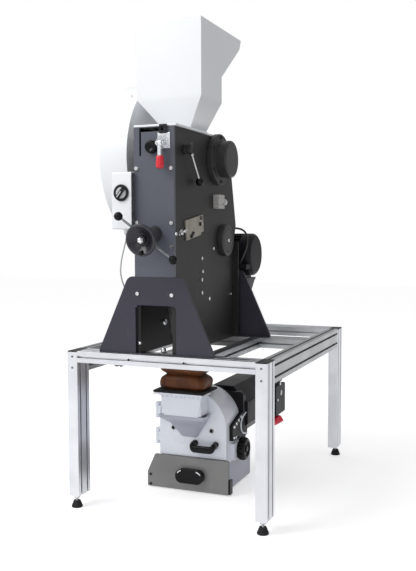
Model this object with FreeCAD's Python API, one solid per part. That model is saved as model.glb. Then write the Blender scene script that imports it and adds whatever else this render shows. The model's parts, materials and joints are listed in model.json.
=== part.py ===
import FreeCAD, Part
import math
import os

from FreeCAD import Placement, Rotation, Vector

os.makedirs("parts", exist_ok=True)

# A two-stage grinding station: a jaw crusher stands on a frame of slotted bars and drops its
# grit through a flexible sleeve into a disc mill on the floor.
# Lengths are millimetres. X runs right from the middle of the stand, Y runs back from the
# stand's front face and Z runs up from the floor.

# Gaps and cuts
GAP = 0.3
RUN_GAP = 0.05
OVER = 4.0
SEAT = 0.1

# Stand
STAND_W = 747.0
STAND_D = 1058.0
STAND_H = 570.0
LEG_END_H = 44.0
BAR = 40.0
BAR_WIDE = 80.0
SLOT_MOUTH = 8.0
SLOT_LIP = 4.5
SLOT_ROOM = 15.0
SLOT_DEPTH = 12.0
CAP_T = 4.0
CAP_R = 2.5
INNER_RAIL_X = 170.0

# Levelling feet
STEM_R = 5.0
STEM_GRIP = 34.0
NUT_R = 9.0
NUT_H = 8.0
PAD_R = 20.0
PAD_TOP_R = 12.0
PAD_H = 25.0
PAD_RIM = 6.0
PAD_FLOOR = 9.0

# Screws and bolts
SCREW_R = 4.0
SCREW_HEAD = 1.6
BOLT_R = 6.5
BOLT_HEAD = 4.5
BIG_BOLT_R = 9.0
BIG_BOLT_HEAD = 8.0
SOCKET_SHARE = 0.5
HEX_DEEP = 1.2

# Places of the body's screws, as shares of its depth and height
PANEL_SCREW_X = 65.0
PANEL_SCREW_SHARES = [
    (-1, 0.821), (1, 0.818), (-1, 0.585), (1, 0.581), (1, 0.481), (-1, 0.270), (1, 0.267),
]
WALL_SCREW_SHARES = [
    (0.412, 0.419), (0.421, 0.357), (0.410, 0.319), (0.410, 0.257), (0.533, 0.223),
    (0.931, 0.225), (0.609, 0.462), (0.016, 0.534), (0.083, 0.545),
]

# Crusher body; a rise is a height above the deck, a drop below and an over above the body's top
CRUSH_X = -37.0
BODY_W = 150.0
BODY_H = 775.0
FRONT_Y = 22.0
FRONT_T = 12.0
WALL_T = 15.0
TOP_D = 420.0
BACK_HIGH_D = 545.0
BACK_HIGH_DROP = 139.0
BACK_MID_D = 592.0
BACK_MID_RISE = 447.0
BACK_LOW_D = 568.0
BACK_LOW_RISE = 380.0
REAR_SKIN_T = 5.0
FLANGE_W = 22.0
FLANGE_T = 8.0
WALL_BORE_R = 58.0
SPACER_D = 30.0
SPACER_LOW_RISE = 60.0
SPACER_TOP_RISE = 230.0

# Foot plates
FOOT_W = 436.0
FOOT_TOP_W = 204.0
FOOT_H = 268.0
FOOT_TOP_R = 26.0
FOOT_EDGE = 8.0
DOOR_W = 154.0
DOOR_SHIFT = 3.0
DOOR_SILL = 3.0
DOOR_H = 162.0
DOOR_NOTCH = 7.0

# Front panel
FLAP_SLOT = 14.0
FLAP_TOP_DROP = 3.0
FLAP_LEFT = 21.0
FLAP_W = 92.0
FLAP_SIDE = 7.0
FLAP_LOW_DROP = 97.0

# Crushing chamber
SHAFT_Y = 405.0
SHAFT_DROP = 83.0
SHAFT_R = 25.0
ECC_R = 32.0
ECC_THROW = 5.0
JAW_SIDE_GAP = 1.0
HUB_R = 60.0
HUB_GAP = 0.4
SWING_TOP_Y = 335.0
SWING_TOP_DROP = 40.0
SWING_FOOT_Y = 291.0
JAW_FOOT_RISE = 320.0
SWING_T = 46.0
FIXED_TOP_Y = 195.0
FIXED_FOOT_Y = 272.0
FIXED_TOP_DROP = 27.0
FIXED_T = 40.0
PIVOT_R = 10.0
PIVOT_DROP = 49.0
TOOTH = 5.0
TOOTH_PITCH = 19.0
RIB_T = 24.0
RIB_SHARE = 0.6

# Bearings, flywheel and drive
BEARING_R = 95.0
BEARING_T = 20.0
BEARING_BOLTS = 6
DRUM_R = 69.0
DRUM_L = 45.0
DRUM_EDGE = 4.0
GUARD_R = 289.0
GUARD_IN = 153.0
GUARD_W = 110.0
GUARD_T = 3.0
GUARD_LOW_R = 100.0
GUARD_MOUTH_R = 42.0
WHEEL_R = 236.0
WHEEL_RIM = 30.0
WHEEL_W = 56.0
WHEEL_WEB = 14.0
WHEEL_HUB_R = 46.0
WHEEL_SIDE = 26.0
PULLEY_R = 58.0
PULLEY_W = 40.0
BELT_T = 8.0
BELT_W = 26.0

# Crusher motor
MOTOR_BACK = 93.0
MOTOR_RISE = 327.0
MOTOR_R = 87.0
MOTOR_L = 238.0
MOTOR_RIGHT = 125.0
FIN_T = 3.0
FIN_COUNT = 28
FIN_H = 7.0
MOTOR_SHAFT_R = 14.0
MOTOR_NOSE_R = 40.0
END_SHIELD = 20.0
FAN_COVER = 48.0
FAN_DOME = 20.0
SHELF_T = 10.0
SHELF_W = 170.0
SHELF_D = 200.0
GUSSET_T = 8.0
MOTOR_FOOT = 12.0
MOTOR_FEET = 140.0
TERMINAL_W = 52.0
TERMINAL_D = 26.0
TERMINAL_H = 20.0
GLAND_R = 9.0
GLAND_L = 16.0
ELBOW_SHARE = 1.2

# Sheet hopper
HOP_W = 250.0
HOP_T = 2.0
HOP_TOP_OVER = 382.0
HOP_CREASE_OVER = 115.0
HOP_BEND_OVER = 208.0
HOP_LIP_OVER = 345.0
HOP_FRONT_Y = 141.0
HOP_BACK_Y = 334.0
HOP_LIP_Y = 521.0
HOP_END_Y = 538.0
THROAT_W = 94.0
THROAT_FRONT_Y = 215.0
THROAT_BACK_Y = 360.0
LID_T = 7.0
LID_OUT = 8.0
HINGE_OFF = 9.0
HINGE_PIN_R = 3.0
HINGE_R = 6.5
HINGE_L = 60.0
LUG_T = 8.0

# Routes of the motor's cable, from the body to the terminal box, and of the switch lead;
# their points are measured up from the deck
CABLE_R = 4.0
CABLE_ROUTE = [
    Vector(-4, 634, 436), Vector(36, 650, 438), Vector(70, 650, 420),
    Vector(80, 642, 380), Vector(74, 630, 340), Vector(58, 624, 306),
]
LEAD_R = 2.5
LEAD_ROUTE = [
    Vector(-135, 14, 414), Vector(-146, 14, 374), Vector(-163, 21, 328), Vector(-175, 32, 278),
    Vector(-169, 46, 231), Vector(-147, 60, 196), Vector(-124, 66, 172),
]
ARC_SHARE = 0.45

# Gap adjuster with its handwheel
SPIN_X = 2.0
SPIN_RISE = 414.0
SPIN_TILT = 11.0
BARREL_R = 27.5
BARREL_L = 62.0
SPINDLE_R = 11.0
SPINDLE_IN = 176.0
WHEEL_AT = 82.0
HAND_R = 55.0
HAND_RIM = 9.0
HAND_T = 5.0
HAND_HUB_R = 15.0
HAND_HUB_L = 24.0
HAND_NUT_R = 11.0
HAND_NUT_L = 12.0
GRIP_R = 7.0
GRIP_L = 26.0
GRIP_AT = 42.0

# Clamping lever behind the wheel
CLAMP_AT = 70.0
CLAMP_HUB_R = 20.0
CLAMP_HUB_T = 10.0
CLAMP_ROD_R = 4.0
CLAMP_REACH = 120.0
CLAMP_ANGLE = 142.0
BALL_R = 15.0

# Side lever
SIDE_Y = 108.0
SIDE_DROP = 73.0
SIDE_HUB_R = 17.0
SIDE_HUB_L = 30.0
SIDE_ROD_R = 4.0
SIDE_REACH = 134.0
SIDE_ANGLE = 52.0

# Small things on the body
KNOB_X = 3.0
KNOB_DROP = 69.0
KNOB_R = 19.0
KNOB_L = 22.0
KNOB_NECK_R = 8.0
KNOB_NECK = 6.0
COVER_Y_SHARE = 0.7975
COVER_DROP = 120.0
COVER_R = 61.0
COVER_L = 22.0
COVER_EDGE = 5.0
PLATE_Y = 186.5
PLATE_RISE = 437.0
PLATE_L = 155.0
PLATE_H = 70.0
PLATE_T = 6.0
PLATE_TILT = -8.9
PLATE_CORNER = 6.0
PLATE_SCREW_SHARES = [(0.354, 0.38), (0.360, 0.06), (-0.144, -0.33)]
BLOCK_Y = 370.0
BLOCK_D = 90.0
BLOCK_GAP = 37.0
BLOCK_H = 52.0
BLOCK_L = 24.0

# Toggle clamp
CATCH_X = 37.0
CATCH_PIVOT_DROP = 59.0
CATCH_PIVOT_Y = -6.0
CATCH_W = 30.0
CATCH_PLATE_T = 5.0
CATCH_LOW_DROP = 83.0
CATCH_TOP_OVER = 12.0
CATCH_CHEEK_T = 4.0
CATCH_CHEEK_R = 12.0
CATCH_HOOK_W = 16.0
CATCH_BOLT_R = 4.0
LEVER_T = 10.0
LEVER_H = 33.0
RED_GRIP_R = 9.0
RED_GRIP_L = 50.0

# Switch box on the left wall
SWITCH_W = 74.0
SWITCH_D = 92.0
SWITCH_LOW_RISE = 430.0
SWITCH_TOP_RISE = 625.0
SWITCH_CORNER = 6.0
SWITCH_OFF = 0.0
DIAL_RISE = 554.0
DIAL_R = 28.5
DIAL_T = 5.0
DIAL_BAR_W = 12.0
DIAL_BAR_T = 14.0
DIAL_PIN_R = 4.0

# Discharge chute through the deck
FEED_X = -52.0
FEED_Y = 338.0
CHUTE_TOP_RISE = 278.0
CHUTE_MID_RISE = 2.0
CHUTE_TOP_FRONT = 130.0
CHUTE_BACK_GAP = 19.0
CHUTE_W = 88.0
CHUTE_D = 86.0
CHUTE_T = 3.0
CHUTE_FLANGE_T = 4.0
CHUTE_COLLAR = 20.0

# Flexible sleeve
SLEEVE_W = 166.0
SLEEVE_D = 96.0
SLEEVE_T = 3.0
SLEEVE_CORNER = 22.0
SLEEVE_DROP = 36.0
SLEEVE_RISE_SHARES = (0.0, 0.10, 0.24, 0.44, 0.70, 0.88, 1.0)
SLEEVE_GIRTH_SHARES = (1.0, 1.0, 1.05, 0.92, 0.96, 1.0, 1.0)

# Disc mill housing and door
MILL_X = -37.0
MILL_Z = 250.0
MILL_R = 138.0
DOOR_Y = 340.0
DOOR_T = 14.0
DRUM_BACK_Y = 490.0
DRUM_WALL = 12.0
MILL_BORE_R = 112.0
CHAMBER_SPARE = 6.0
OUTLET_W = 120.0
DOOR_HINGE_X = 12.0
DOOR_PIN_R = 5.0
DOOR_KNUCKLE_R = 9.0
DOOR_KNUCKLE_L = 34.0
DOOR_LUG_H = 12.0
DOOR_LUG_D = 18.0
DOOR_HINGE_SHARE = 1.5
PLUG_X = 79.0
PLUG_DROP = 11.0
PLUG_R = 8.0
PLUG_T = 4.0

# Feed box and chute on the door
BOX_W = 166.0
BOX_FRONT_Y = 265.0
BOX_LOW = 304.0
BOX_T = 3.0
BOX_FLANGE_T = 8.0
BOX_FLANGE_OUT = 5.0
BOX_SKIRT = 14.0
SPOUT_W = 226.0
SPOUT_LOW = 207.0
SPOUT_R = 60.0
SPOUT_OUT = 46.0
SPOUT_ROUND_SHARE = 0.6
SPOUT_FOOT_SHARE = 0.7
FEED_BORE_R = 26.0
SEAL_FRONT_Y = 262.0
SEAL_BACK_Y = 403.0
SEAL_LEFT = 113.0
SEAL_RIGHT = 93.0
SEAL_T = 8.0
BRIDGE_X = 54.0
BRIDGE_W = 94.0
BRIDGE_Z = 175.0
BRIDGE_OUT = 34.0
BRIDGE_R = 8.0
BRIDGE_POST_R = 7.0

# Plinth and drawer
BASE_LEFT = 140.0
BASE_RIGHT = 135.0
BASE_Y = 341.0
BASE_BACK_Y = 620.0
BASE_TOP = 115.0
BASE_T = 6.0
BASE_FOOT = 6.0
DRAWER_LEFT = 185.0
DRAWER_RIGHT = 152.0
DRAWER_FRONT_Y = 325.0
DRAWER_FACE_T = 14.0
DRAWER_TOP = 131.0
DRAWER_LOW = 3.0
DRAWER_CUT_X = 32.0
DRAWER_CUT_Z = 71.0
DRAWER_T = 2.5
DRAWER_SLACK = 3.0
DRAWER_BACK_GAP = 20.0
PULL_X = 0.0
PULL_Z = 63.0
PULL_W = 112.0
PULL_H = 52.0
PULL_OUT = 24.0
PULL_BAR = 12.0
LATCH_W = 8.0
LATCH_D = 26.0
LATCH_LOW = 5.0
LATCH_TOP = 60.0

# Grinding discs and mill drive
DISC_R = 100.0
DISC_T = 22.0
DISC_GAP = 1.5
MILL_SHAFT_R = 20.0
MILL_MOTOR_X = 55.0
MILL_MOTOR_Z = 275.0
MILL_MOTOR_R = 105.0
MILL_MOTOR_L = 310.0
MILL_MOTOR_Y = 520.0
MILL_MOTOR_SIDES = 8
GEAR_CASE_D = 30.0
MOTOR_FOOT_SHARE = 0.33
BRACKET_Y = 371.0
BRACKET_D = 118.0
BRACKET_Z = 200.0
BRACKET_H = 108.0
BRACKET_OUT = 16.0
BRACKET_BEND = 50.0
BRACKET_T = 10.0
BRACKET_BOLT_SHARES = (0.2, 0.5, 0.8)
GAP_KNOB_R = 44.0
GAP_KNOB_L = 34.0
GAP_KNOB_Y = 453.0
GAP_KNOB_Z = 152.0
GAP_NECK_R = 14.0
GAP_NECK = 12.0

# Control box under the right rail
CONTROL_W = 38.0
CONTROL_Y = 96.0
CONTROL_D = 103.0
CONTROL_DROP = 194.0
CONTROL_H = 99.0
CONTROL_CORNER = 6.0
CONTROL_HANGER = 16.0
CONTROL_HANG_T = 4.0
BUTTON_R = 16.0
BUTTON_L = 18.0
BUTTON_NECK_R = 8.0
BUTTON_NECK = 12.0
BUTTON_TRAVEL = 5.0
BUTTON_Y = 46.0

# Heights above the floor
BODY_TOP = STAND_H + BODY_H
BACK_HIGH_Z = BODY_TOP - BACK_HIGH_DROP
BACK_MID_Z = STAND_H + BACK_MID_RISE
BACK_LOW_Z = STAND_H + BACK_LOW_RISE
FOOT_TOP_Z = STAND_H + FOOT_H
DOOR_TOP = STAND_H + DOOR_H
FLAP_TOP_Z = BODY_TOP - FLAP_TOP_DROP
FLAP_LOW_Z = BODY_TOP - FLAP_LOW_DROP
SHAFT_Z = BODY_TOP - SHAFT_DROP
SWING_TOP_Z = BODY_TOP - SWING_TOP_DROP
JAW_FOOT_Z = STAND_H + JAW_FOOT_RISE
FIXED_TOP_Z = BODY_TOP - FIXED_TOP_DROP
PIVOT_Z = BODY_TOP - PIVOT_DROP
MOTOR_Z = STAND_H + MOTOR_RISE
HOP_TOP = BODY_TOP + HOP_TOP_OVER
HOP_CREASE_Z = BODY_TOP + HOP_CREASE_OVER
HOP_BEND_Z = BODY_TOP + HOP_BEND_OVER
HOP_LIP_Z = BODY_TOP + HOP_LIP_OVER
SPIN_Z = STAND_H + SPIN_RISE
SIDE_Z = BODY_TOP - SIDE_DROP
KNOB_Z = BODY_TOP - KNOB_DROP
PLATE_Z = STAND_H + PLATE_RISE
BLOCK_Z = SHAFT_Z - BEARING_R - BLOCK_GAP - BLOCK_H
COVER_Z = BLOCK_Z - COVER_DROP
CATCH_PIVOT_Z = BODY_TOP - CATCH_PIVOT_DROP
CATCH_LOW_Z = BODY_TOP - CATCH_LOW_DROP
CATCH_TOP_Z = BODY_TOP + CATCH_TOP_OVER
SWITCH_LOW_Z = STAND_H + SWITCH_LOW_RISE
SWITCH_TOP_Z = STAND_H + SWITCH_TOP_RISE
DIAL_Z = STAND_H + DIAL_RISE
CHUTE_TOP_Z = STAND_H + CHUTE_TOP_RISE
CHUTE_MID_Z = STAND_H + CHUTE_MID_RISE
SLEEVE_TOP = STAND_H - SLEEVE_DROP
CONTROL_LOW = STAND_H - CONTROL_DROP

# Places worked out from the sizes
LEG_X = (STAND_W - BAR) / 2
BODY_LEFT = CRUSH_X - BODY_W / 2
BODY_RIGHT = CRUSH_X + BODY_W / 2
INNER_LEFT = BODY_LEFT + WALL_T
INNER_RIGHT = BODY_RIGHT - WALL_T
WALL_Y = FRONT_Y + FRONT_T
TOP_BACK_Y = FRONT_Y + TOP_D
BACK_HIGH_Y = FRONT_Y + BACK_HIGH_D
BACK_MID_Y = FRONT_Y + BACK_MID_D
BACK_LOW_Y = FRONT_Y + BACK_LOW_D
REAR_FOOT_Y = BACK_LOW_Y + SPACER_D
CROSS_RAIL_Y = REAR_FOOT_Y - BAR
MOTOR_Y = REAR_FOOT_Y + FRONT_T + MOTOR_BACK
COVER_Y = FRONT_Y + COVER_Y_SHARE * BACK_LOW_D
CHUTE_BACK_Y = BACK_LOW_Y - REAR_SKIN_T - CHUTE_BACK_GAP
LID_Z = BODY_TOP + GAP
LID_BACK_Y = TOP_BACK_Y
LID_TOP = LID_Z + LID_T
GUARD_RIGHT = CRUSH_X - GUARD_IN
GUARD_LEFT = GUARD_RIGHT - GUARD_W
WHEEL_LEFT = GUARD_LEFT + WHEEL_SIDE
WHEEL_MID = WHEEL_LEFT + WHEEL_W / 2
MOTOR_END = CRUSH_X + MOTOR_RIGHT
MOTOR_LEFT = MOTOR_END - MOTOR_L
MOTOR_BASE_Z = MOTOR_Z - MOTOR_R - MOTOR_FOOT
HINGE_Y = LID_BACK_Y + HINGE_OFF
HINGE_Z = LID_Z + LID_T / 2
SPINDLE_X = CRUSH_X + SPIN_X
MILL_TOP = MILL_Z + MILL_R
SEAL_Z = MILL_TOP + GAP
SLEEVE_FOOT = SEAL_Z + SEAL_T
DOOR_BACK_Y = DOOR_Y + DOOR_T
HOUSING_Y = DOOR_BACK_Y + GAP
DOOR_LOW = DRAWER_TOP + GAP + GAP
DOOR_PIN_X = MILL_X - MILL_R - DOOR_HINGE_X
DOOR_PIN_Y = DOOR_Y + DOOR_T / 2
BASE_X0 = MILL_X - BASE_LEFT
BASE_X1 = MILL_X + BASE_RIGHT
NUT_AT = WHEEL_AT + HAND_HUB_L + HAND_NUT_L
TILT = math.radians(SPIN_TILT)
FRONT_REACH = NUT_AT * math.cos(TILT) + HAND_NUT_R * math.sin(TILT) - FRONT_Y
MIDDLE_Y = (STAND_D - FRONT_REACH) / 2
CHAMBER_BACK_Y = HOUSING_Y + DISC_T + DISC_GAP + DISC_T + CHAMBER_SPARE


def lift(axis, u, v, w):
    """Point with w on the named axis and u, v on the other two."""
    if axis == "x":
        return Vector(w, u, v)
    if axis == "y":
        return Vector(u, w, v)
    return Vector(u, v, w)


def above_deck(points):
    """Points of a route, lifted to the deck that they are measured from."""
    return [point + Vector(0, 0, STAND_H) for point in points]


def box(x0, x1, y0, y1, z0, z1):
    """Block between two corners."""
    return Part.makeBox(x1 - x0, y1 - y0, z1 - z0, Vector(x0, y0, z0))


def rod(axis, u, v, radius, start, end):
    """Cylinder along a named axis."""
    return Part.makeCylinder(radius, end - start, lift(axis, u, v, start), lift(axis, 0, 0, 1))


def tube(axis, u, v, radius, bore, start, end):
    """Cylinder along a named axis with a bore right through."""
    return rod(axis, u, v, radius, start, end).cut(rod(axis, u, v, bore, start - OVER, end + OVER))


def rounded_wire(points, radii, closed=True):
    """Straight runs joined by tangent arcs, one radius for each point."""
    count = len(points)
    joints = []
    for index, corner in enumerate(points):
        radius = radii[index]
        if radius == 0 or (not closed and index in (0, count - 1)):
            joints.append((corner, None, corner))
            continue
        before = (points[index - 1] - corner).normalize()
        after = (points[(index + 1) % count] - corner).normalize()
        half = before.getAngle(after) / 2
        reach = radius / math.tan(half)
        middle = (before + after).normalize() * (radius / math.sin(half) - radius)
        joints.append((corner + before * reach, corner + middle, corner + after * reach))
    edges = []
    for index in range(count):
        start, middle, end = joints[index]
        if middle is not None:
            edges.append(Part.Arc(start, middle, end).toShape())
        if index < count - 1 or closed:
            following = joints[(index + 1) % count][0]
            edges.append(Part.LineSegment(end, following).toShape())
    return Part.Wire(edges)


def plate(axis, points, start, end, radii=0):
    """Flat outline, with its corners rounded, that runs from start to end on the axis."""
    corners = [lift(axis, u, v, start) for u, v in points]
    if not isinstance(radii, (list, tuple)):
        radii = [radii] * len(corners)
    face = Part.Face(rounded_wire(corners, radii))
    return face.extrude(lift(axis, 0, 0, end - start))


def panel(axis, u0, u1, v0, v1, start, end, radius):
    """Rounded rectangle that runs from start to end on the axis."""
    return plate(axis, [(u0, v0), (u1, v0), (u1, v1), (u0, v1)], start, end, radius)


def fuse(first, *others):
    """One solid from several that touch or overlap."""
    return first.fuse(list(others)).removeSplitter()


def turned(shape, centre, axis, angle):
    """Copy of a shape, turned about an axis through a centre."""
    copy = shape.copy()
    copy.rotate(centre, axis, angle)
    return copy


def soft_end(shape, axis, at, radius):
    """Shape with the round edges that lie at one place on the axis rounded off."""
    index = "xyz".index(axis)
    edges = [
        edge for edge in shape.Edges
        if all(abs(vertex.Point[index] - at) < RUN_GAP for vertex in edge.Vertexes)
        and isinstance(edge.Curve, Part.Circle)
    ]
    return shape.makeFillet(radius, edges)


def stub(place, aim, radius, length):
    """Short cylinder that ends at a place and points along aim."""
    return Part.makeCylinder(radius, length, place - aim * length, aim)


def ring_points(u, v, radius, count, turn=0.0):
    """Points of a regular outline round a middle; turn is in steps."""
    angles = [2 * math.pi * (index + turn) / count for index in range(count)]
    return [(u + radius * math.cos(angle), v + radius * math.sin(angle)) for angle in angles]


def socket_head(axis, u, v, radius, start, end):
    """Screw head with a hexagon socket in its far end."""
    head = rod(axis, u, v, radius, min(start, end), max(start, end))
    corners = ring_points(u, v, radius * SOCKET_SHARE, 6)
    inward = HEX_DEEP if end < start else -HEX_DEEP
    outward = -OVER if end < start else OVER
    first, last = sorted((end + inward, end + outward))
    return head.cut(plate(axis, corners, first, last))


def save(name, *solids):
    """Write one sub-part, moved so that the origin lies under the middle of the station."""
    shape = solids[0] if len(solids) == 1 else Part.makeCompound(list(solids))
    placed = shape.copy()
    placed.translate(Vector(0, -MIDDLE_Y, 0))
    if not placed.isValid():
        print("invalid", name)
    placed.exportStep("parts/" + name + ".step")


# Slotted bars of the stand
def slot_patch(mouth, inward, shallow, deep, width):
    """Flat rectangle between two depths under a slot's mouth."""
    side = Vector(-inward.y, inward.x, 0) * (width / 2)
    near = mouth + inward * shallow
    far = mouth + inward * deep
    corners = [near - side, far - side, far + side, near + side]
    return Part.Face(Part.makePolygon(corners + [corners[0]]))


def bar_section(width, end_slots):
    """Flat section of a slotted bar; its narrow side starts at zero."""
    half = BAR / 2
    corners = [Vector(-half, 0, 0), Vector(half, 0, 0), Vector(half, width, 0), Vector(-half, width, 0)]
    face = Part.Face(Part.makePolygon(corners + [corners[0]]))
    count = max(1, round(width / BAR))
    centres = [width * (index + 0.5) / count for index in range(count)]
    mouths = [(Vector(-half, v, 0), Vector(1, 0, 0)) for v in centres]
    mouths += [(Vector(half, v, 0), Vector(-1, 0, 0)) for v in centres]
    if end_slots:
        mouths += [(Vector(0, 0, 0), Vector(0, 1, 0)), (Vector(0, width, 0), Vector(0, -1, 0))]
    cuts = []
    for mouth, inward in mouths:
        cuts.append(slot_patch(mouth, inward, -OVER, SLOT_LIP + SEAT, SLOT_MOUTH))
        cuts.append(slot_patch(mouth, inward, SLOT_LIP, SLOT_DEPTH, SLOT_ROOM))
    for v in centres:
        core = Part.makeCircle(STEM_R + GAP, Vector(0, v, 0))
        cuts.append(Part.Face(Part.Wire(core)))
    return face.cut(cuts)


def bar(width, length, end_slots, origin, across, along_width):
    """Slotted bar that starts at origin, with the directions of its section given."""
    solid = bar_section(width, end_slots).extrude(Vector(0, 0, length))
    solid.Placement = Placement(origin, Rotation(across, along_width, across.cross(along_width), "XYZ"))
    return solid.Solids[0] if solid.Solids else solid


RIGHT = Vector(1, 0, 0)
BACK = Vector(0, 1, 0)
UP = Vector(0, 0, 1)


def leg(side, y):
    """Upright bar of the stand, closed on its two narrow sides."""
    length = STAND_H - CAP_T - LEG_END_H
    return bar(BAR_WIDE, length, False, Vector(side * LEG_X, y, LEG_END_H), RIGHT, BACK)


def end_rail(y):
    """Bar that lies flat between the legs at the front or the rear."""
    length = STAND_W - BAR - BAR
    origin = Vector(-length / 2, y, STAND_H - BAR / 2)
    return bar(BAR_WIDE, length, True, origin, -UP, BACK)


def side_rail(side):
    """Bar on edge between a front and a rear leg."""
    length = STAND_D - BAR_WIDE - BAR_WIDE
    origin = Vector(side * LEG_X, BAR_WIDE, STAND_H - BAR_WIDE)
    return bar(BAR_WIDE, length, True, origin, -RIGHT, UP)


def deck_rails():
    """Cross rail under the rear foot plate and the two short rails in front of it."""
    rails = [end_rail(CROSS_RAIL_Y)]
    length = CROSS_RAIL_Y - BAR_WIDE
    for side in (-1, 1):
        origin = Vector(CRUSH_X + side * INNER_RAIL_X, BAR_WIDE, STAND_H - BAR)
        rails.append(bar(BAR, length, True, origin, -RIGHT, UP))
    return rails


def leg_places():
    """Middle of each leg's outermost core, where its foot stands."""
    return [(side * LEG_X, y) for side in (-1, 1) for y in (BAR / 2, STAND_D - BAR / 2)]


def end_caps():
    """Plastic caps on the four legs."""
    caps = []
    for side in (-1, 1):
        for y in (0, STAND_D - BAR_WIDE):
            x0 = side * LEG_X - BAR / 2
            cap = panel("z", x0, x0 + BAR, y, y + BAR_WIDE, STAND_H - CAP_T, STAND_H, CAP_R)
            caps.append(cap)
    return caps


def foot_stems():
    """Threaded stems with their lock nuts, screwed into the legs' cores."""
    stems = []
    for x, y in leg_places():
        stem = rod("z", x, y, STEM_R, PAD_FLOOR, LEG_END_H + STEM_GRIP)
        nut = plate("z", ring_points(x, y, NUT_R, 6), LEG_END_H - NUT_H, LEG_END_H)
        stems.append(fuse(stem, nut))
    return stems


def foot_pads():
    """Round pads with a conical top and a socket for the stem."""
    pads = []
    for x, y in leg_places():
        rim = rod("z", x, y, PAD_R, 0, PAD_RIM)
        cone = Part.makeCone(PAD_R, PAD_TOP_R, PAD_H - PAD_RIM, Vector(x, y, PAD_RIM), UP)
        pad = fuse(rim, cone).cut(rod("z", x, y, STEM_R + RUN_GAP, PAD_FLOOR, PAD_H + OVER))
        pads.append(pad)
    return pads


def frame_screws():
    """Screw heads on the legs, the deck rails and the rear end of the side rails."""
    screws = []
    for side in (-1, 1):
        for drop in (BAR / 2, BAR_WIDE - BAR / 2):
            z = STAND_H - drop
            screws.append(socket_head("y", side * LEG_X, z, SCREW_R, 0, -SCREW_HEAD))
            outer = side * STAND_W / 2
            y = STAND_D - BAR_WIDE - BAR
            screws.append(socket_head("x", y, z, SCREW_R, outer, outer + side * SCREW_HEAD))
        x = CRUSH_X + side * INNER_RAIL_X
        screws.append(socket_head("z", x, BAR_WIDE + BAR, BIG_BOLT_R, STAND_H, STAND_H + BIG_BOLT_HEAD))
    return screws


save("leg_front_left", leg(-1, 0))
save("leg_front_right", leg(1, 0))
save("leg_rear_left", leg(-1, STAND_D - BAR_WIDE))
save("leg_rear_right", leg(1, STAND_D - BAR_WIDE))
save("front_rail", end_rail(0))
save("rear_rail", end_rail(STAND_D - BAR_WIDE))
save("side_rail_left", side_rail(-1))
save("side_rail_right", side_rail(1))
save("deck_rails", *deck_rails())
save("leg_end_caps", *end_caps())
save("foot_stems", *foot_stems())
save("foot_pads", *foot_pads())


# Welded body of the crusher
def wall_outline():
    """Side view of the body, from the deck at the front up and over to the back."""
    return [
        (WALL_Y, STAND_H), (BACK_LOW_Y, STAND_H), (BACK_LOW_Y, BACK_LOW_Z), (BACK_MID_Y, BACK_MID_Z),
        (BACK_HIGH_Y, BACK_HIGH_Z), (TOP_BACK_Y, BODY_TOP), (WALL_Y, BODY_TOP),
    ]


def pivot_y():
    """Depth of the front jaw's pivot."""
    return FIXED_TOP_Y - FIXED_T / 2


def side_wall(side):
    """Thick side plate with its bearing bore and the flange along its rear edge."""
    if side < 0:
        x0, x1, outer = BODY_LEFT, INNER_LEFT, BODY_LEFT - FLANGE_W
    else:
        x0, x1, outer = INNER_RIGHT, BODY_RIGHT, BODY_RIGHT + FLANGE_W
    wall = plate("x", wall_outline(), x0, x1)
    flange = box(min(x0, outer), max(x1, outer), BACK_LOW_Y - FLANGE_T, BACK_LOW_Y, STAND_H, BACK_LOW_Z)
    wall = fuse(wall, flange)
    wall = wall.cut(rod("x", SHAFT_Y, SHAFT_Z, WALL_BORE_R, x0 - OVER, x1 + OVER))
    wall = wall.cut(rod("x", pivot_y(), PIVOT_Z, PIVOT_R + RUN_GAP, x0 - OVER, x1 + OVER))
    if side > 0:
        wall = wall.cut(rod("x", SIDE_Y, SIDE_Z, KNOB_NECK_R + RUN_GAP, x0 - OVER, x1 + OVER))
    return wall


def along_spindle(shape):
    """Shape drawn level, tilted to the line of the gap adjuster."""
    return turned(shape, Vector(SPINDLE_X, FRONT_Y, SPIN_Z), RIGHT, SPIN_TILT)


def front_panel():
    """Upper front plate with the slots round its flap."""
    face = box(BODY_LEFT, BODY_RIGHT, FRONT_Y, WALL_Y, FOOT_TOP_Z, BODY_TOP)
    left = BODY_LEFT + FLAP_LEFT
    across = box(left, left + FLAP_W, FRONT_Y - OVER, WALL_Y + OVER, FLAP_TOP_Z - FLAP_SLOT, FLAP_TOP_Z)
    down = box(left, left + FLAP_SIDE, FRONT_Y - OVER, WALL_Y + OVER, FLAP_LOW_Z, FLAP_TOP_Z)
    spindle = rod("y", SPINDLE_X, SPIN_Z, SPINDLE_R + GAP, FRONT_Y - FRONT_T, WALL_Y + FRONT_T)
    knob = rod("y", CRUSH_X - KNOB_X, KNOB_Z, KNOB_NECK_R + RUN_GAP, FRONT_Y - OVER, WALL_Y + OVER)
    return face.cut([across, down, along_spindle(spindle), knob])


def foot_outline():
    """Front view of a foot plate, wide on the deck and rounded at its shoulders."""
    low, high, edge = FOOT_W / 2, FOOT_TOP_W / 2, STAND_H + FOOT_EDGE
    return [
        (CRUSH_X - low, STAND_H), (CRUSH_X + low, STAND_H), (CRUSH_X + low, edge),
        (CRUSH_X + high, FOOT_TOP_Z), (CRUSH_X - high, FOOT_TOP_Z), (CRUSH_X - low, edge),
    ]


def foot_plate(y):
    """Upright plate that the body stands on."""
    return plate("y", foot_outline(), y, y + FRONT_T, [0, 0, 0, FOOT_TOP_R, FOOT_TOP_R, 0])


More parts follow.
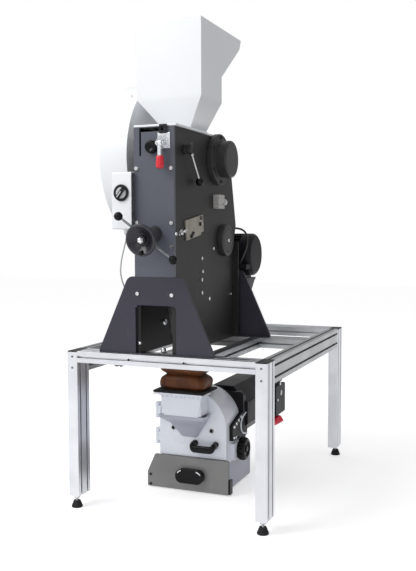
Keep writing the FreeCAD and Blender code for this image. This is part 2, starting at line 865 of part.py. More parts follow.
def front_foot_plate():
    """Front foot plate with the doorway to the grit path."""
    x0 = CRUSH_X + DOOR_SHIFT - DOOR_W / 2
    x1 = x0 + DOOR_W
    near, far = FRONT_Y - OVER, WALL_Y + OVER
    door = box(x0, x1, near, far, STAND_H + DOOR_SILL, DOOR_TOP)
    notch = box(x0 + DOOR_NOTCH, x1 - DOOR_NOTCH, near, far, DOOR_TOP - OVER, DOOR_TOP + DOOR_NOTCH)
    return foot_plate(FRONT_Y).cut([door, notch])


def cable_exit():
    """Place and direction where the motor's cable leaves the body."""
    start, following = above_deck(CABLE_ROUTE[:2])
    return start, (following - start).normalize()


def rear_wall():
    """Bent skin behind the body with the hopper's hinge lugs, a spacer and the cable's gland."""
    outside = wall_outline()[1:6]
    inside = [(y - REAR_SKIN_T, z) for y, z in reversed(outside)]
    skin = plate("x", outside + inside, INNER_LEFT, INNER_RIGHT)
    spacer = box(INNER_LEFT, INNER_RIGHT, BACK_LOW_Y, REAR_FOOT_Y, STAND_H + SPACER_LOW_RISE,
                 STAND_H + SPACER_TOP_RISE)
    start, aim = cable_exit()
    elbow = start - aim * GLAND_L
    pieces = [spacer, stub(start, aim, GLAND_R, GLAND_L), Part.makeSphere(GLAND_R * ELBOW_SHARE, elbow, aim)]
    inside = min(BACK_LOW_Y, BACK_MID_Y) - REAR_SKIN_T
    pieces.append(rod("y", elbow.x, elbow.z, GLAND_R, inside, max(elbow.y, BACK_MID_Y + GLAND_R)))
    half = HINGE_L / 2
    for edge in (CRUSH_X - half - GAP - LUG_T, CRUSH_X + half + GAP):
        pieces.append(rod("x", HINGE_Y, HINGE_Z, HINGE_R, edge, edge + LUG_T))
        y0, y1 = HINGE_Y - HINGE_R / 2, HINGE_Y + HINGE_R
        drop = BODY_TOP - LUG_T - HINGE_R
        pieces.append(box(edge, edge + LUG_T, y0, y1, drop, HINGE_Z))
    ends = half + GAP + LUG_T
    pieces.append(rod("x", HINGE_Y, HINGE_Z, HINGE_PIN_R, CRUSH_X - ends, CRUSH_X + ends))
    return fuse(skin, *pieces)


# Crushing chamber
def jaw_slab(top_y, foot_y, top_z, thick, front):
    """Toothed jaw plate drawn upright and then leaned, teeth towards the other jaw."""
    x0, x1 = INNER_LEFT + JAW_SIDE_GAP, INNER_RIGHT - JAW_SIDE_GAP
    count = max(2, round((x1 - x0) / TOOTH_PITCH))
    pitch = (x1 - x0) / count
    out = TOOTH if front else -TOOTH
    back = top_y - thick if front else top_y + thick
    outline = [(x0, back), (x0, top_y - out)]
    for index in range(count):
        outline.append((x0 + pitch * (index + 0.5), top_y))
        outline.append((x0 + pitch * (index + 1), top_y - out))
    outline.append((x1, back))
    lean = math.degrees(math.atan2(foot_y - top_y, top_z - JAW_FOOT_Z))
    slab = plate("z", outline, JAW_FOOT_Z, top_z)
    return turned(slab, Vector(0, top_y, top_z), RIGHT, lean)


def front_jaw():
    """Front jaw on its pivot; its foot is pushed in by the spindle."""
    slab = jaw_slab(FIXED_TOP_Y, FIXED_FOOT_Y, FIXED_TOP_Z, FIXED_T, True)
    pin = rod("x", pivot_y(), PIVOT_Z, PIVOT_R, BODY_LEFT + GAP, BODY_RIGHT - GAP)
    return fuse(slab, pin)


def swing_jaw():
    """Swing jaw that hangs on the eccentric shaft."""
    slab = jaw_slab(SWING_TOP_Y, SWING_FOOT_Y, SWING_TOP_Z, SWING_T, False)
    x0, x1 = INNER_LEFT + JAW_SIDE_GAP, INNER_RIGHT - JAW_SIDE_GAP
    hub = rod("x", SHAFT_Y, SHAFT_Z, HUB_R, x0, x1)
    rib_top = SHAFT_Z - HUB_R / 2
    rib = plate("x", [
        (SWING_TOP_Y, rib_top), (SHAFT_Y + HUB_R * RIB_SHARE, rib_top),
        (SWING_FOOT_Y + SWING_T, JAW_FOOT_Z + SWING_T), (SWING_FOOT_Y + SWING_T / 2, JAW_FOOT_Z + SWING_T),
    ], CRUSH_X - RIB_T / 2, CRUSH_X + RIB_T / 2)
    jaw = fuse(slab, hub, rib)
    bore = ECC_R + ECC_THROW + HUB_GAP
    return jaw.cut(rod("x", SHAFT_Y, SHAFT_Z, bore, x0 - OVER, x1 + OVER))


def eccentric_shaft():
    """Main shaft with its eccentric between the walls."""
    right = BODY_RIGHT + BEARING_T + DRUM_L - DRUM_EDGE - DRUM_EDGE
    journal = rod("x", SHAFT_Y, SHAFT_Z, SHAFT_R, WHEEL_LEFT, right)
    x0, x1 = INNER_LEFT + JAW_SIDE_GAP, INNER_RIGHT - JAW_SIDE_GAP
    swell = rod("x", SHAFT_Y + ECC_THROW, SHAFT_Z, ECC_R, x0, x1)
    return fuse(journal, swell)


def bearing_housings():
    """Right housing, closed by a drum, and left one, which also carries the belt guard."""
    end = BODY_RIGHT + BEARING_T + DRUM_L
    drum = soft_end(rod("x", SHAFT_Y, SHAFT_Z, DRUM_R, BODY_RIGHT, end), "x", end, DRUM_EDGE)
    right = fuse(rod("x", SHAFT_Y, SHAFT_Z, BEARING_R, BODY_RIGHT, BODY_RIGHT + BEARING_T), drum)
    bore_end = end - DRUM_EDGE
    right = right.cut(rod("x", SHAFT_Y, SHAFT_Z, SHAFT_R + RUN_GAP, BODY_RIGHT - OVER, bore_end))
    left = fuse(
        rod("x", SHAFT_Y, SHAFT_Z, BEARING_R, BODY_LEFT - BEARING_T, BODY_LEFT),
        rod("x", SHAFT_Y, SHAFT_Z, DRUM_R, GUARD_RIGHT, BODY_LEFT),
    )
    left = left.cut(rod("x", SHAFT_Y, SHAFT_Z, SHAFT_R + RUN_GAP, GUARD_RIGHT - OVER, BODY_LEFT + OVER))
    return [left, right]


def flywheel():
    """Heavy wheel on the shaft's left end, with a thinned web."""
    x0, x1 = WHEEL_LEFT, WHEEL_LEFT + WHEEL_W
    wheel = rod("x", SHAFT_Y, SHAFT_Z, WHEEL_R, x0, x1)
    web0, web1 = WHEEL_MID - WHEEL_WEB / 2, WHEEL_MID + WHEEL_WEB / 2
    hollow = tube("x", SHAFT_Y, SHAFT_Z, WHEEL_R - WHEEL_RIM, WHEEL_HUB_R, x0 - OVER, web0)
    other = tube("x", SHAFT_Y, SHAFT_Z, WHEEL_R - WHEEL_RIM, WHEEL_HUB_R, web1, x1 + OVER)
    bore = rod("x", SHAFT_Y, SHAFT_Z, SHAFT_R + RUN_GAP, x0 - OVER, x1 + OVER)
    return wheel.cut([hollow, other, bore])


# Belt drive and motor
def loop(wheel_radius, motor_radius, x0, x1):
    """Solid whose outline runs tightly round the flywheel's and the motor's circles."""
    span = math.hypot(MOTOR_Y - SHAFT_Y, MOTOR_Z - SHAFT_Z)
    line = math.atan2(MOTOR_Z - SHAFT_Z, MOTOR_Y - SHAFT_Y)
    lean = math.acos((wheel_radius - motor_radius) / span)

    def on_wheel(angle):
        out = Vector(0, math.cos(angle), math.sin(angle)) * wheel_radius
        return Vector(x0, SHAFT_Y, SHAFT_Z) + out

    def on_motor(angle):
        out = Vector(0, math.cos(angle), math.sin(angle)) * motor_radius
        return Vector(x0, MOTOR_Y, MOTOR_Z) + out

    first, last = line + lean, line - lean
    edges = [
        Part.Arc(on_wheel(first), on_wheel(line + math.pi), on_wheel(last)).toShape(),
        Part.LineSegment(on_wheel(last), on_motor(last)).toShape(),
        Part.Arc(on_motor(last), on_motor(line), on_motor(first)).toShape(),
        Part.LineSegment(on_motor(first), on_wheel(first)).toShape(),
    ]
    return Part.Face(Part.Wire(edges)).extrude(Vector(x1 - x0, 0, 0))


def drive_belt():
    """Flat belt round the flywheel and the motor's pulley."""
    x0, x1 = WHEEL_MID - BELT_W / 2, WHEEL_MID + BELT_W / 2
    outer = loop(WHEEL_R + GAP + BELT_T, PULLEY_R + GAP + BELT_T, x0, x1)
    return outer.cut(loop(WHEEL_R + GAP, PULLEY_R + GAP, x0 - OVER, x1 + OVER))


def belt_guard():
    """Sheet cover round the belt drive, open where the two shafts come in."""
    outer = loop(GUARD_R, GUARD_LOW_R, GUARD_LEFT, GUARD_RIGHT)
    inner = loop(GUARD_R - GUARD_T, GUARD_LOW_R - GUARD_T, GUARD_LEFT + GUARD_T, GUARD_RIGHT - GUARD_T)
    shaft = rod("x", SHAFT_Y, SHAFT_Z, GUARD_MOUTH_R, GUARD_RIGHT - GUARD_T - OVER, GUARD_RIGHT + OVER)
    motor = rod("x", MOTOR_Y, MOTOR_Z, GUARD_MOUTH_R / 2, GUARD_RIGHT - GUARD_T - OVER, GUARD_RIGHT + OVER)
    return outer.cut([inner, shaft, motor])


def motor_pulley():
    """Pulley with the motor's shaft."""
    half = PULLEY_W / 2
    rim = rod("x", MOTOR_Y, MOTOR_Z, PULLEY_R, WHEEL_MID - half, WHEEL_MID + half)
    shaft = rod("x", MOTOR_Y, MOTOR_Z, MOTOR_SHAFT_R, WHEEL_MID - half, MOTOR_LEFT + MOTOR_R)
    return fuse(rim, shaft)


def crusher_motor():
    """Finned motor with its nose to the guard, fan cover, feet and terminal box."""
    fan_x = MOTOR_END - FAN_COVER
    shield_x = MOTOR_LEFT + END_SHIELD
    core = MOTOR_R - FIN_H
    outline = []
    half_fin = FIN_T / 2 / MOTOR_R
    for index in range(FIN_COUNT):
        middle = 2 * math.pi * index / FIN_COUNT
        for radius, angle in ((core, -half_fin), (MOTOR_R, -half_fin), (MOTOR_R, half_fin), (core, half_fin)):
            turn = middle + angle
            outline.append((MOTOR_Y + radius * math.cos(turn), MOTOR_Z + radius * math.sin(turn)))
    body = plate("x", outline, shield_x, fan_x)
    shield = rod("x", MOTOR_Y, MOTOR_Z, MOTOR_R, MOTOR_LEFT, shield_x)
    nose = rod("x", MOTOR_Y, MOTOR_Z, MOTOR_NOSE_R, GUARD_RIGHT, MOTOR_LEFT)
    fan = soft_end(rod("x", MOTOR_Y, MOTOR_Z, MOTOR_R, fan_x, MOTOR_END), "x", MOTOR_END, FAN_DOME)
    foot_top = MOTOR_Z - core / 2
    foot_y = MOTOR_FEET / 2
    foot = box(shield_x, fan_x, MOTOR_Y - foot_y, MOTOR_Y + foot_y, MOTOR_BASE_Z, foot_top)
    before, end = above_deck(CABLE_ROUTE[-2:])
    front = end.y - TERMINAL_D / 2
    low = end.z - GLAND_L - TERMINAL_H
    terminal = panel("y", end.x - TERMINAL_W / 2, end.x + TERMINAL_W / 2, low, end.z - GLAND_L,
                     front, MOTOR_Y - MOTOR_R + FAN_DOME, CAP_R)
    aim = (before - end).normalize()
    gland = stub(end, aim, GLAND_R, GLAND_L + CAP_R)
    motor = fuse(body, shield, nose, fan, foot, terminal, gland)
    bore_end = MOTOR_LEFT + MOTOR_R + GAP
    return motor.cut(rod("x", MOTOR_Y, MOTOR_Z, MOTOR_SHAFT_R + RUN_GAP, GUARD_RIGHT - OVER, bore_end))


def motor_shelf():
    """Shelf behind the rear foot plate with its two gussets."""
    y0 = REAR_FOOT_Y + FRONT_T
    x0, x1 = CRUSH_X - SHELF_W / 2, CRUSH_X + SHELF_W / 2
    top = MOTOR_BASE_Z
    shelf = box(x0, x1, y0, y0 + SHELF_D, top - SHELF_T, top)
    low = top - SHELF_T
    outline = [(y0, low), (y0 + SHELF_D - SHELF_T, low), (y0, low - SHELF_D)]
    gussets = [plate("x", outline, x, x + GUSSET_T) for x in (x0, x1 - GUSSET_T)]
    return fuse(shelf, *gussets)


save("side_wall_left", side_wall(-1))
save("side_wall_right", side_wall(1))
save("front_panel", front_panel())
save("front_foot_plate", front_foot_plate())
save("rear_wall", rear_wall())
save("rear_foot_plate", foot_plate(REAR_FOOT_Y))
save("front_jaw", front_jaw())
save("swing_jaw", swing_jaw())
save("eccentric_shaft", eccentric_shaft())
save("bearing_housings", *bearing_housings())
save("flywheel", flywheel())
save("drive_belt", drive_belt())
save("belt_guard", belt_guard())
save("motor_pulley", motor_pulley())
save("crusher_motor", crusher_motor())
save("motor_shelf", motor_shelf())


# Sheet hopper on its lid
def hopper_side(inset, top):
    """Side view of the hopper's straight part, drawn in by the sheet where inset is set."""
    return [
        (HOP_FRONT_Y + inset, HOP_CREASE_Z), (HOP_BACK_Y - inset, HOP_CREASE_Z),
        (HOP_BACK_Y - inset, HOP_BEND_Z + inset / 2), (HOP_LIP_Y - inset, HOP_LIP_Z + inset),
        (HOP_END_Y - inset, HOP_TOP), (HOP_END_Y - inset, top), (HOP_FRONT_Y + inset, top),
    ]


def flat_ring(x0, x1, y0, y1, z):
    """Level rectangle as a wire."""
    corners = [Vector(x0, y0, z), Vector(x1, y0, z), Vector(x1, y1, z), Vector(x0, y1, z)]
    return Part.makePolygon(corners + [corners[0]])


def hopper_taper(inset, low):
    """Lower part of the hopper, from its crease down to the throat."""
    wide, narrow = HOP_W / 2 - inset, THROAT_W / 2 - inset
    top = flat_ring(CRUSH_X - wide, CRUSH_X + wide, HOP_FRONT_Y + inset, HOP_BACK_Y - inset, HOP_CREASE_Z)
    foot = flat_ring(CRUSH_X - narrow, CRUSH_X + narrow, THROAT_FRONT_Y + inset, THROAT_BACK_Y - inset, low)
    return Part.makeLoft([foot, top], True, True)


def hopper():
    """Hopper with its lid and the knuckle that it tilts on."""
    half = HOP_W / 2
    top = HOP_TOP + RUN_GAP
    outer = fuse(plate("x", hopper_side(0, top), CRUSH_X - half, CRUSH_X + half), hopper_taper(0, LID_TOP))
    trimmed = outer.cut(box(CRUSH_X - HOP_W, CRUSH_X + HOP_W, 0, STAND_D, HOP_TOP, HOP_TOP + OVER))
    inner = plate("x", hopper_side(HOP_T, HOP_TOP + OVER), CRUSH_X - half + HOP_T, CRUSH_X + half - HOP_T)
    shell = trimmed.cut([inner, hopper_taper(HOP_T, LID_TOP)])
    step_y = SHAFT_Y - BEARING_R - LID_OUT
    x0, x1 = BODY_LEFT + GAP, BODY_RIGHT - GAP
    outline = [
        (x0, FRONT_Y), (BODY_RIGHT + LID_OUT, FRONT_Y), (BODY_RIGHT + LID_OUT, step_y), (x1, step_y),
        (x1, LID_BACK_Y), (x0, LID_BACK_Y),
    ]
    lid = plate("z", outline, LID_Z, LID_TOP)
    narrow = THROAT_W / 2 - HOP_T
    hole = box(CRUSH_X - narrow, CRUSH_X + narrow, THROAT_FRONT_Y + HOP_T, THROAT_BACK_Y - HOP_T,
               LID_Z - OVER, LID_TOP + OVER)
    knuckle = rod("x", HINGE_Y, HINGE_Z, HINGE_R, CRUSH_X - HINGE_L / 2, CRUSH_X + HINGE_L / 2)
    tab = box(CRUSH_X - HINGE_L / 2, CRUSH_X + HINGE_L / 2, LID_BACK_Y - LID_T, HINGE_Y, LID_Z, LID_TOP)
    whole = fuse(shell, lid.cut(hole), knuckle, tab)
    pin = rod("x", HINGE_Y, HINGE_Z, HINGE_PIN_R + RUN_GAP, CRUSH_X - HINGE_L, CRUSH_X + HINGE_L)
    return whole.cut(pin)


# Hand controls
def spindle_barrel():
    """Fixed barrel that guides the spindle in front of the panel."""
    barrel = rod("y", SPINDLE_X, SPIN_Z, BARREL_R, FRONT_Y - BARREL_L, FRONT_Y + BARREL_R)
    barrel = soft_end(barrel, "y", FRONT_Y - BARREL_L, CAP_R)
    near, far = FRONT_Y - BARREL_L - OVER, FRONT_Y + BARREL_R + OVER
    tilted = along_spindle(barrel.cut(rod("y", SPINDLE_X, SPIN_Z, SPINDLE_R + RUN_GAP, near, far)))
    low, high = SPIN_Z - BARREL_L, SPIN_Z + BARREL_L
    return tilted.cut(box(BODY_LEFT, BODY_RIGHT, FRONT_Y, FRONT_Y + BARREL_L, low, high))


def handwheel():
    """Dished handwheel with its nut, fold grip and spindle."""
    y = FRONT_Y - WHEEL_AT
    rim_back = y + HAND_RIM / 2
    rim = Part.makeTorus(HAND_R - HAND_RIM / 2, HAND_RIM / 2, Vector(SPINDLE_X, y, SPIN_Z), BACK)
    web = Part.makeCone(HAND_R - HAND_RIM, HAND_HUB_R, HAND_HUB_L / 2,
                        Vector(SPINDLE_X, rim_back, SPIN_Z), -BACK)
    dish_r = HAND_R - HAND_RIM - HAND_T
    hollow = Part.makeCone(dish_r, HAND_HUB_R - HAND_T, HAND_HUB_L / 2,
                           Vector(SPINDLE_X, rim_back + HAND_T, SPIN_Z), -BACK)
    disc = rod("y", SPINDLE_X, SPIN_Z, HAND_R - HAND_RIM / 2, y - HAND_T / 2, y + HAND_T / 2)
    hub = rod("y", SPINDLE_X, SPIN_Z, HAND_HUB_R, y - HAND_HUB_L, y + HAND_T)
    nut_end = y - HAND_HUB_L - HAND_NUT_L
    nut = rod("y", SPINDLE_X, SPIN_Z, HAND_NUT_R, nut_end, y - HAND_HUB_L)
    spindle = rod("y", SPINDLE_X, SPIN_Z, SPINDLE_R, y - HAND_T, FRONT_Y + SPINDLE_IN)
    grip_z = SPIN_Z - GRIP_AT
    grip = rod("y", SPINDLE_X, grip_z, GRIP_R, y - GRIP_L, y)
    grip = soft_end(grip, "y", y - GRIP_L, GRIP_R / 2)
    return along_spindle(fuse(rim, disc, web.cut(hollow), hub, nut, spindle, grip))


def lever_arm(hub_centre, reach, angle, plane, rod_radius, ball_radius):
    """Rod with a ball at its end; the angle is measured in the lever's plane."""
    along, across = plane
    turn = math.radians(angle)
    aim = along * math.cos(turn) + across * math.sin(turn)
    stick = Part.makeCylinder(rod_radius, reach, hub_centre, aim)
    return [stick, Part.makeSphere(ball_radius, hub_centre + aim * reach, aim)]


def clamp_lever():
    """Two-armed lever that locks the spindle, between barrel and wheel."""
    y = FRONT_Y - CLAMP_AT
    centre = Vector(SPINDLE_X, y, SPIN_Z)
    half = CLAMP_HUB_T / 2
    hub = rod("y", SPINDLE_X, SPIN_Z, CLAMP_HUB_R, y - half, y + half)
    arms = []
    for turn in (0, 1):
        angle = CLAMP_ANGLE + math.degrees(math.pi) * turn
        arms += lever_arm(centre, CLAMP_REACH, angle, (RIGHT, UP), CLAMP_ROD_R, BALL_R)
    lever = fuse(hub, *arms)
    lever = lever.cut(rod("y", SPINDLE_X, SPIN_Z, SPINDLE_R + RUN_GAP, y - BALL_R, y + BALL_R))
    return along_spindle(lever)


def side_lever():
    """Ball lever on the right wall."""
    x0 = BODY_RIGHT + GAP
    hub = rod("x", SIDE_Y, SIDE_Z, SIDE_HUB_R, x0, x0 + SIDE_HUB_L)
    middle = Vector(x0 + SIDE_HUB_L - SIDE_ROD_R * 2, SIDE_Y, SIDE_Z)
    arm = lever_arm(middle, SIDE_REACH, -SIDE_ANGLE, (BACK, UP), SIDE_ROD_R, BALL_R)
    pin = rod("x", SIDE_Y, SIDE_Z, KNOB_NECK_R, BODY_RIGHT - KNOB_NECK, x0 + GAP)
    return fuse(hub, pin, *arm)


def front_knob():
    """Round locking knob on the front panel."""
    x = CRUSH_X - KNOB_X
    knob = rod("y", x, KNOB_Z, KNOB_R, FRONT_Y - KNOB_L, FRONT_Y - GAP)
    knob = soft_end(knob, "y", FRONT_Y - KNOB_L, CAP_R)
    return fuse(knob, rod("y", x, KNOB_Z, KNOB_NECK_R, FRONT_Y - GAP - GAP, FRONT_Y + KNOB_NECK))


def catch_base():
    """Bracket of the lid's toggle clamp, with cheeks, cross bolt and a hook before the lid's edge."""
    x = CRUSH_X + CATCH_X
    half = CATCH_W / 2
    back = FRONT_Y - GAP
    base = box(x - half, x + half, FRONT_Y - CATCH_PLATE_T, FRONT_Y, CATCH_LOW_Z, BODY_TOP - CATCH_PLATE_T)
    hook_half = CATCH_HOOK_W / 2
    hook = box(x - hook_half, x + hook_half, back - CATCH_PLATE_T, back, BODY_TOP - CATCH_W, CATCH_TOP_Z)
    tip = box(x - half, x + half, back - CATCH_PLATE_T - CATCH_PLATE_T, back,
              CATCH_TOP_Z - CATCH_PLATE_T, CATCH_TOP_Z)
    pieces = [hook, tip]
    for side in (-1, 1):
        inner = x + side * (LEVER_T / 2 + GAP)
        outer = inner + side * CATCH_CHEEK_T
        x0, x1 = min(inner, outer), max(inner, outer)
        pieces.append(rod("x", CATCH_PIVOT_Y, CATCH_PIVOT_Z, CATCH_CHEEK_R, x0, x1))
        pieces.append(box(x0, x1, CATCH_PIVOT_Y, FRONT_Y, CATCH_PIVOT_Z - CATCH_CHEEK_R,
                          CATCH_PIVOT_Z + CATCH_CHEEK_R))
    bolt = rod("x", CATCH_PIVOT_Y, CATCH_PIVOT_Z, CATCH_BOLT_R, x - half, x + half)
    return fuse(base, bolt, *pieces)


def catch_lever():
    """Lever of the toggle clamp, hanging down into its red grip."""
    x = CRUSH_X + CATCH_X
    half = LEVER_T / 2
    eye = rod("x", CATCH_PIVOT_Y, CATCH_PIVOT_Z, CATCH_CHEEK_R - CATCH_CHEEK_T, x - half, x + half)
    low = CATCH_PIVOT_Z - LEVER_H
    y0 = CATCH_PIVOT_Y - half
    arm = box(x - half, x + half, y0, y0 + LEVER_T, low, CATCH_PIVOT_Z)
    grip = rod("z", x, CATCH_PIVOT_Y, RED_GRIP_R, low - RED_GRIP_L, low)
    grip = soft_end(grip, "z", low - RED_GRIP_L, CAP_R)
    bore = rod("x", CATCH_PIVOT_Y, CATCH_PIVOT_Z, CATCH_BOLT_R + RUN_GAP, x - LEVER_T, x + LEVER_T)
    return fuse(eye, arm, grip).cut(bore)


# Covers, plates and screws on the right wall
def lower_cover():
    """Round cover over the toggle's seat, with its middle screw."""
    end = BODY_RIGHT + COVER_L
    cover = soft_end(rod("x", COVER_Y, COVER_Z, COVER_R, BODY_RIGHT, end), "x", end, COVER_EDGE)
    return fuse(cover, rod("x", COVER_Y, COVER_Z, BOLT_R, end - OVER, end + BOLT_HEAD))


def on_plate(shape):
    """Shape drawn level, tilted with the plate on the right wall."""
    return turned(shape, Vector(BODY_RIGHT, PLATE_Y, PLATE_Z), RIGHT, -PLATE_TILT)


def latch_plate():
    """Tilted plate on the right wall, held by three screws."""
    half_l, half_h = PLATE_L / 2, PLATE_H / 2
    face = panel("x", PLATE_Y - half_l, PLATE_Y + half_l, PLATE_Z - half_h, PLATE_Z + half_h,
                 BODY_RIGHT, BODY_RIGHT + PLATE_T, PLATE_CORNER)
    return on_plate(face)


def scale_block():
    """Machined block under the bearing with its round stop."""
    x1 = BODY_RIGHT + BLOCK_L
    block = panel("y", BODY_RIGHT, x1, BLOCK_Z, BLOCK_Z + BLOCK_H, BLOCK_Y, BLOCK_Y + BLOCK_D, CAP_R)
    stop_y = BLOCK_Y + BLOCK_D + BOLT_R
    stop = rod("x", stop_y, BLOCK_Z + BLOCK_H / 2, BOLT_R + GAP, BODY_RIGHT, x1 - CAP_R)
    return fuse(block, stop)


def panel_screws():
    """Socket screws that hold the front panel and its foot plate."""
    screws = []
    height = BODY_TOP - STAND_H
    for side, rise in PANEL_SCREW_SHARES:
        x = CRUSH_X + side * PANEL_SCREW_X
        screws.append(socket_head("y", x, STAND_H + height * rise, BOLT_R, FRONT_Y, FRONT_Y - BOLT_HEAD))
    return screws


def wall_screws():
    """Socket screws of the right wall and of its tilted plate."""
    screws = []
    height = BODY_TOP - STAND_H
    for along, rise in WALL_SCREW_SHARES:
        y, z = FRONT_Y + BACK_LOW_D * along, STAND_H + height * rise
        screws.append(socket_head("x", y, z, BOLT_R, BODY_RIGHT, BODY_RIGHT + BOLT_HEAD))
    face = BODY_RIGHT + PLATE_T
    for along, rise in PLATE_SCREW_SHARES:
        y, z = PLATE_Y + PLATE_L * along, PLATE_Z + PLATE_H * rise
        screws.append(on_plate(socket_head("x", y, z, SCREW_R, face, face + BOLT_HEAD)))
    return screws


def bearing_screws():
    """Socket screws round the right bearing's flange."""
    face = BODY_RIGHT + BEARING_T
    places = ring_points(SHAFT_Y, SHAFT_Z, (BEARING_R + DRUM_R) / 2, BEARING_BOLTS, 0.5)
    return [socket_head("x", y, z, BOLT_R, face, face + BOLT_HEAD) for y, z in places]


save("hopper", hopper())
save("spindle_barrel", spindle_barrel())
save("handwheel", handwheel())
save("clamp_lever", clamp_lever())
save("side_lever", side_lever())
save("front_knob", front_knob())
save("catch_base", catch_base())
save("catch_lever", catch_lever())
save("lower_cover", lower_cover())
save("screws", *frame_screws(), *panel_screws(), *wall_screws(), *bearing_screws())


# Electrical boxes
def switch_box():
    """Box on the left wall, open towards the wall, with its cable gland below."""
    x0, x1 = BODY_LEFT - SWITCH_W, BODY_LEFT
    outer = panel("x", SWITCH_OFF, SWITCH_OFF + SWITCH_D, SWITCH_LOW_Z, SWITCH_TOP_Z, x0, x1, SWITCH_CORNER)
    room = box(x0 + BOX_T, x1 + OVER, SWITCH_OFF + BOX_T, SWITCH_OFF + SWITCH_D - BOX_T,
               SWITCH_LOW_Z + BOX_T, SWITCH_TOP_Z - BOX_T)
    start, following = above_deck(LEAD_ROUTE[:2])
    aim = (following - start).normalize()
    gland = stub(start, aim, GLAND_R, SWITCH_LOW_Z + BOX_T - start.z)
    pin = rod("y", dial_x(), DIAL_Z, DIAL_PIN_R + RUN_GAP, SWITCH_OFF - OVER, SWITCH_OFF + BOX_T + OVER)
    return fuse(outer.cut(room), gland).cut(pin)


def dial_x():
    """Middle of the rotary switch across the box."""
    return BODY_LEFT - SWITCH_W / 2


def rotary_switch():
    """Round switch with a bar handle."""
    x, front = dial_x(), SWITCH_OFF - GAP
    disc = rod("y", x, DIAL_Z, DIAL_R, front - DIAL_T, front)
    half = DIAL_BAR_W / 2
    handle = panel("y", x - half, x + half, DIAL_Z - DIAL_R + GAP, DIAL_Z + DIAL_R - GAP,
                   front - DIAL_BAR_T, front - DIAL_T / 2, CAP_R)
    pin = rod("y", x, DIAL_Z, DIAL_PIN_R, front - DIAL_T / 2, SWITCH_OFF + BOX_T)
    return fuse(disc, handle, pin)


def cord(name, route, radius):
    """Round lead along its route; prints its bends and its volume's share of the true one."""
    route = above_deck(route)
    radii = [0]
    bends = []
    for index in range(1, len(route) - 1):
        before = route[index - 1] - route[index]
        after = route[index + 1] - route[index]
        run = min(before.Length, after.Length)
        turn = math.pi - before.getAngle(after)
        bend = ARC_SHARE * run / math.tan(turn / 2)
        radii.append(bend)
        bends.append(bend)
    radii.append(0)
    path = rounded_wire(route, radii, closed=False)
    aim = route[1] - route[0]
    section = Part.Wire(Part.makeCircle(radius, route[0], aim))
    solid = path.makePipeShell([section], True, False)
    expected = math.pi * radius ** 2 * path.Length
    print(name, "length", round(path.Length, 1), "bends", [round(bend, 1) for bend in bends],
          "volume share", round(solid.Volume / expected, 4))
    return solid


def lead_entry():
    """Gland where the switch lead goes into the left wall."""
    before, end = above_deck(LEAD_ROUTE[-2:])
    aim = (end - before).normalize()
    entry = Part.makeCylinder(LEAD_R * 2, GLAND_L * 2, end, aim)
    return entry.cut(box(BODY_LEFT, BODY_RIGHT, 0, STAND_D, STAND_H, BODY_TOP))


def control_box():
    """Small box hung under the right side rail."""
    x1 = STAND_W / 2
    x0 = x1 - CONTROL_W
    top = CONTROL_LOW + CONTROL_H
    y1 = CONTROL_Y + CONTROL_D
    case = panel("x", CONTROL_Y, y1, CONTROL_LOW, top, x0, x1, CONTROL_CORNER)
    middle = CONTROL_Y + CONTROL_D / 2
    hanger = box(x0, x0 + CONTROL_HANG_T, middle - CONTROL_HANGER, middle + CONTROL_HANGER,
                 top - CONTROL_HANGER, STAND_H - BAR_WIDE)
    foot = box(x0, x1, middle - CONTROL_HANGER, middle + CONTROL_HANGER,
               STAND_H - BAR_WIDE - CONTROL_HANG_T, STAND_H - BAR_WIDE)
    socket = rod("z", x0 + CONTROL_W / 2, CONTROL_Y + BUTTON_Y, BUTTON_NECK_R + GAP,
                 CONTROL_LOW - OVER, CONTROL_LOW + BUTTON_L)
    return fuse(case, hanger, foot).cut(socket)


def red_button():
    """Mushroom button under the control box."""
    x, y = STAND_W / 2 - CONTROL_W / 2, CONTROL_Y + BUTTON_Y
    neck_low = CONTROL_LOW - BUTTON_NECK
    head = rod("z", x, y, BUTTON_R, neck_low - BUTTON_L, neck_low)
    head = soft_end(head, "z", neck_low - BUTTON_L, BUTTON_R / 2)
    neck = rod("z", x, y, BUTTON_NECK_R, neck_low, CONTROL_LOW + BUTTON_TRAVEL)
    return fuse(head, neck)


# Grit path from the jaws to the mill
def drop_chute():
    """Funnel under the jaws that narrows to a duct through the deck and ends in a flange."""
    shells = []
    for inset in (0, CHUTE_T):
        mid_x, mid_y = CHUTE_W / 2 - inset, CHUTE_D / 2 - inset
        x0, x1 = INNER_LEFT + inset, INNER_RIGHT - inset
        y0, y1 = FEED_Y - CHUTE_TOP_FRONT + inset, CHUTE_BACK_Y - inset
        over = OVER if inset else 0
        top = flat_ring(x0, x1, y0, y1, CHUTE_TOP_Z)
        mid = flat_ring(FEED_X - mid_x, FEED_X + mid_x, FEED_Y - mid_y, FEED_Y + mid_y, CHUTE_MID_Z)
        funnel = Part.makeLoft([mid, top], True, True)
        collar = box(x0, x1, y0, y1, CHUTE_TOP_Z, CHUTE_TOP_Z + CHUTE_COLLAR + over)
        duct = box(FEED_X - mid_x, FEED_X + mid_x, FEED_Y - mid_y, FEED_Y + mid_y,
                   SLEEVE_TOP - over, CHUTE_MID_Z)
        shells.append(fuse(funnel, collar, duct))
    half_w, half_d = SLEEVE_W / 2, SLEEVE_D / 2
    flange = panel("z", FEED_X - half_w, FEED_X + half_w, FEED_Y - half_d, FEED_Y + half_d,
                   SLEEVE_TOP, SLEEVE_TOP + CHUTE_FLANGE_T, SLEEVE_CORNER)
    return fuse(shells[0], flange).cut(shells[1])


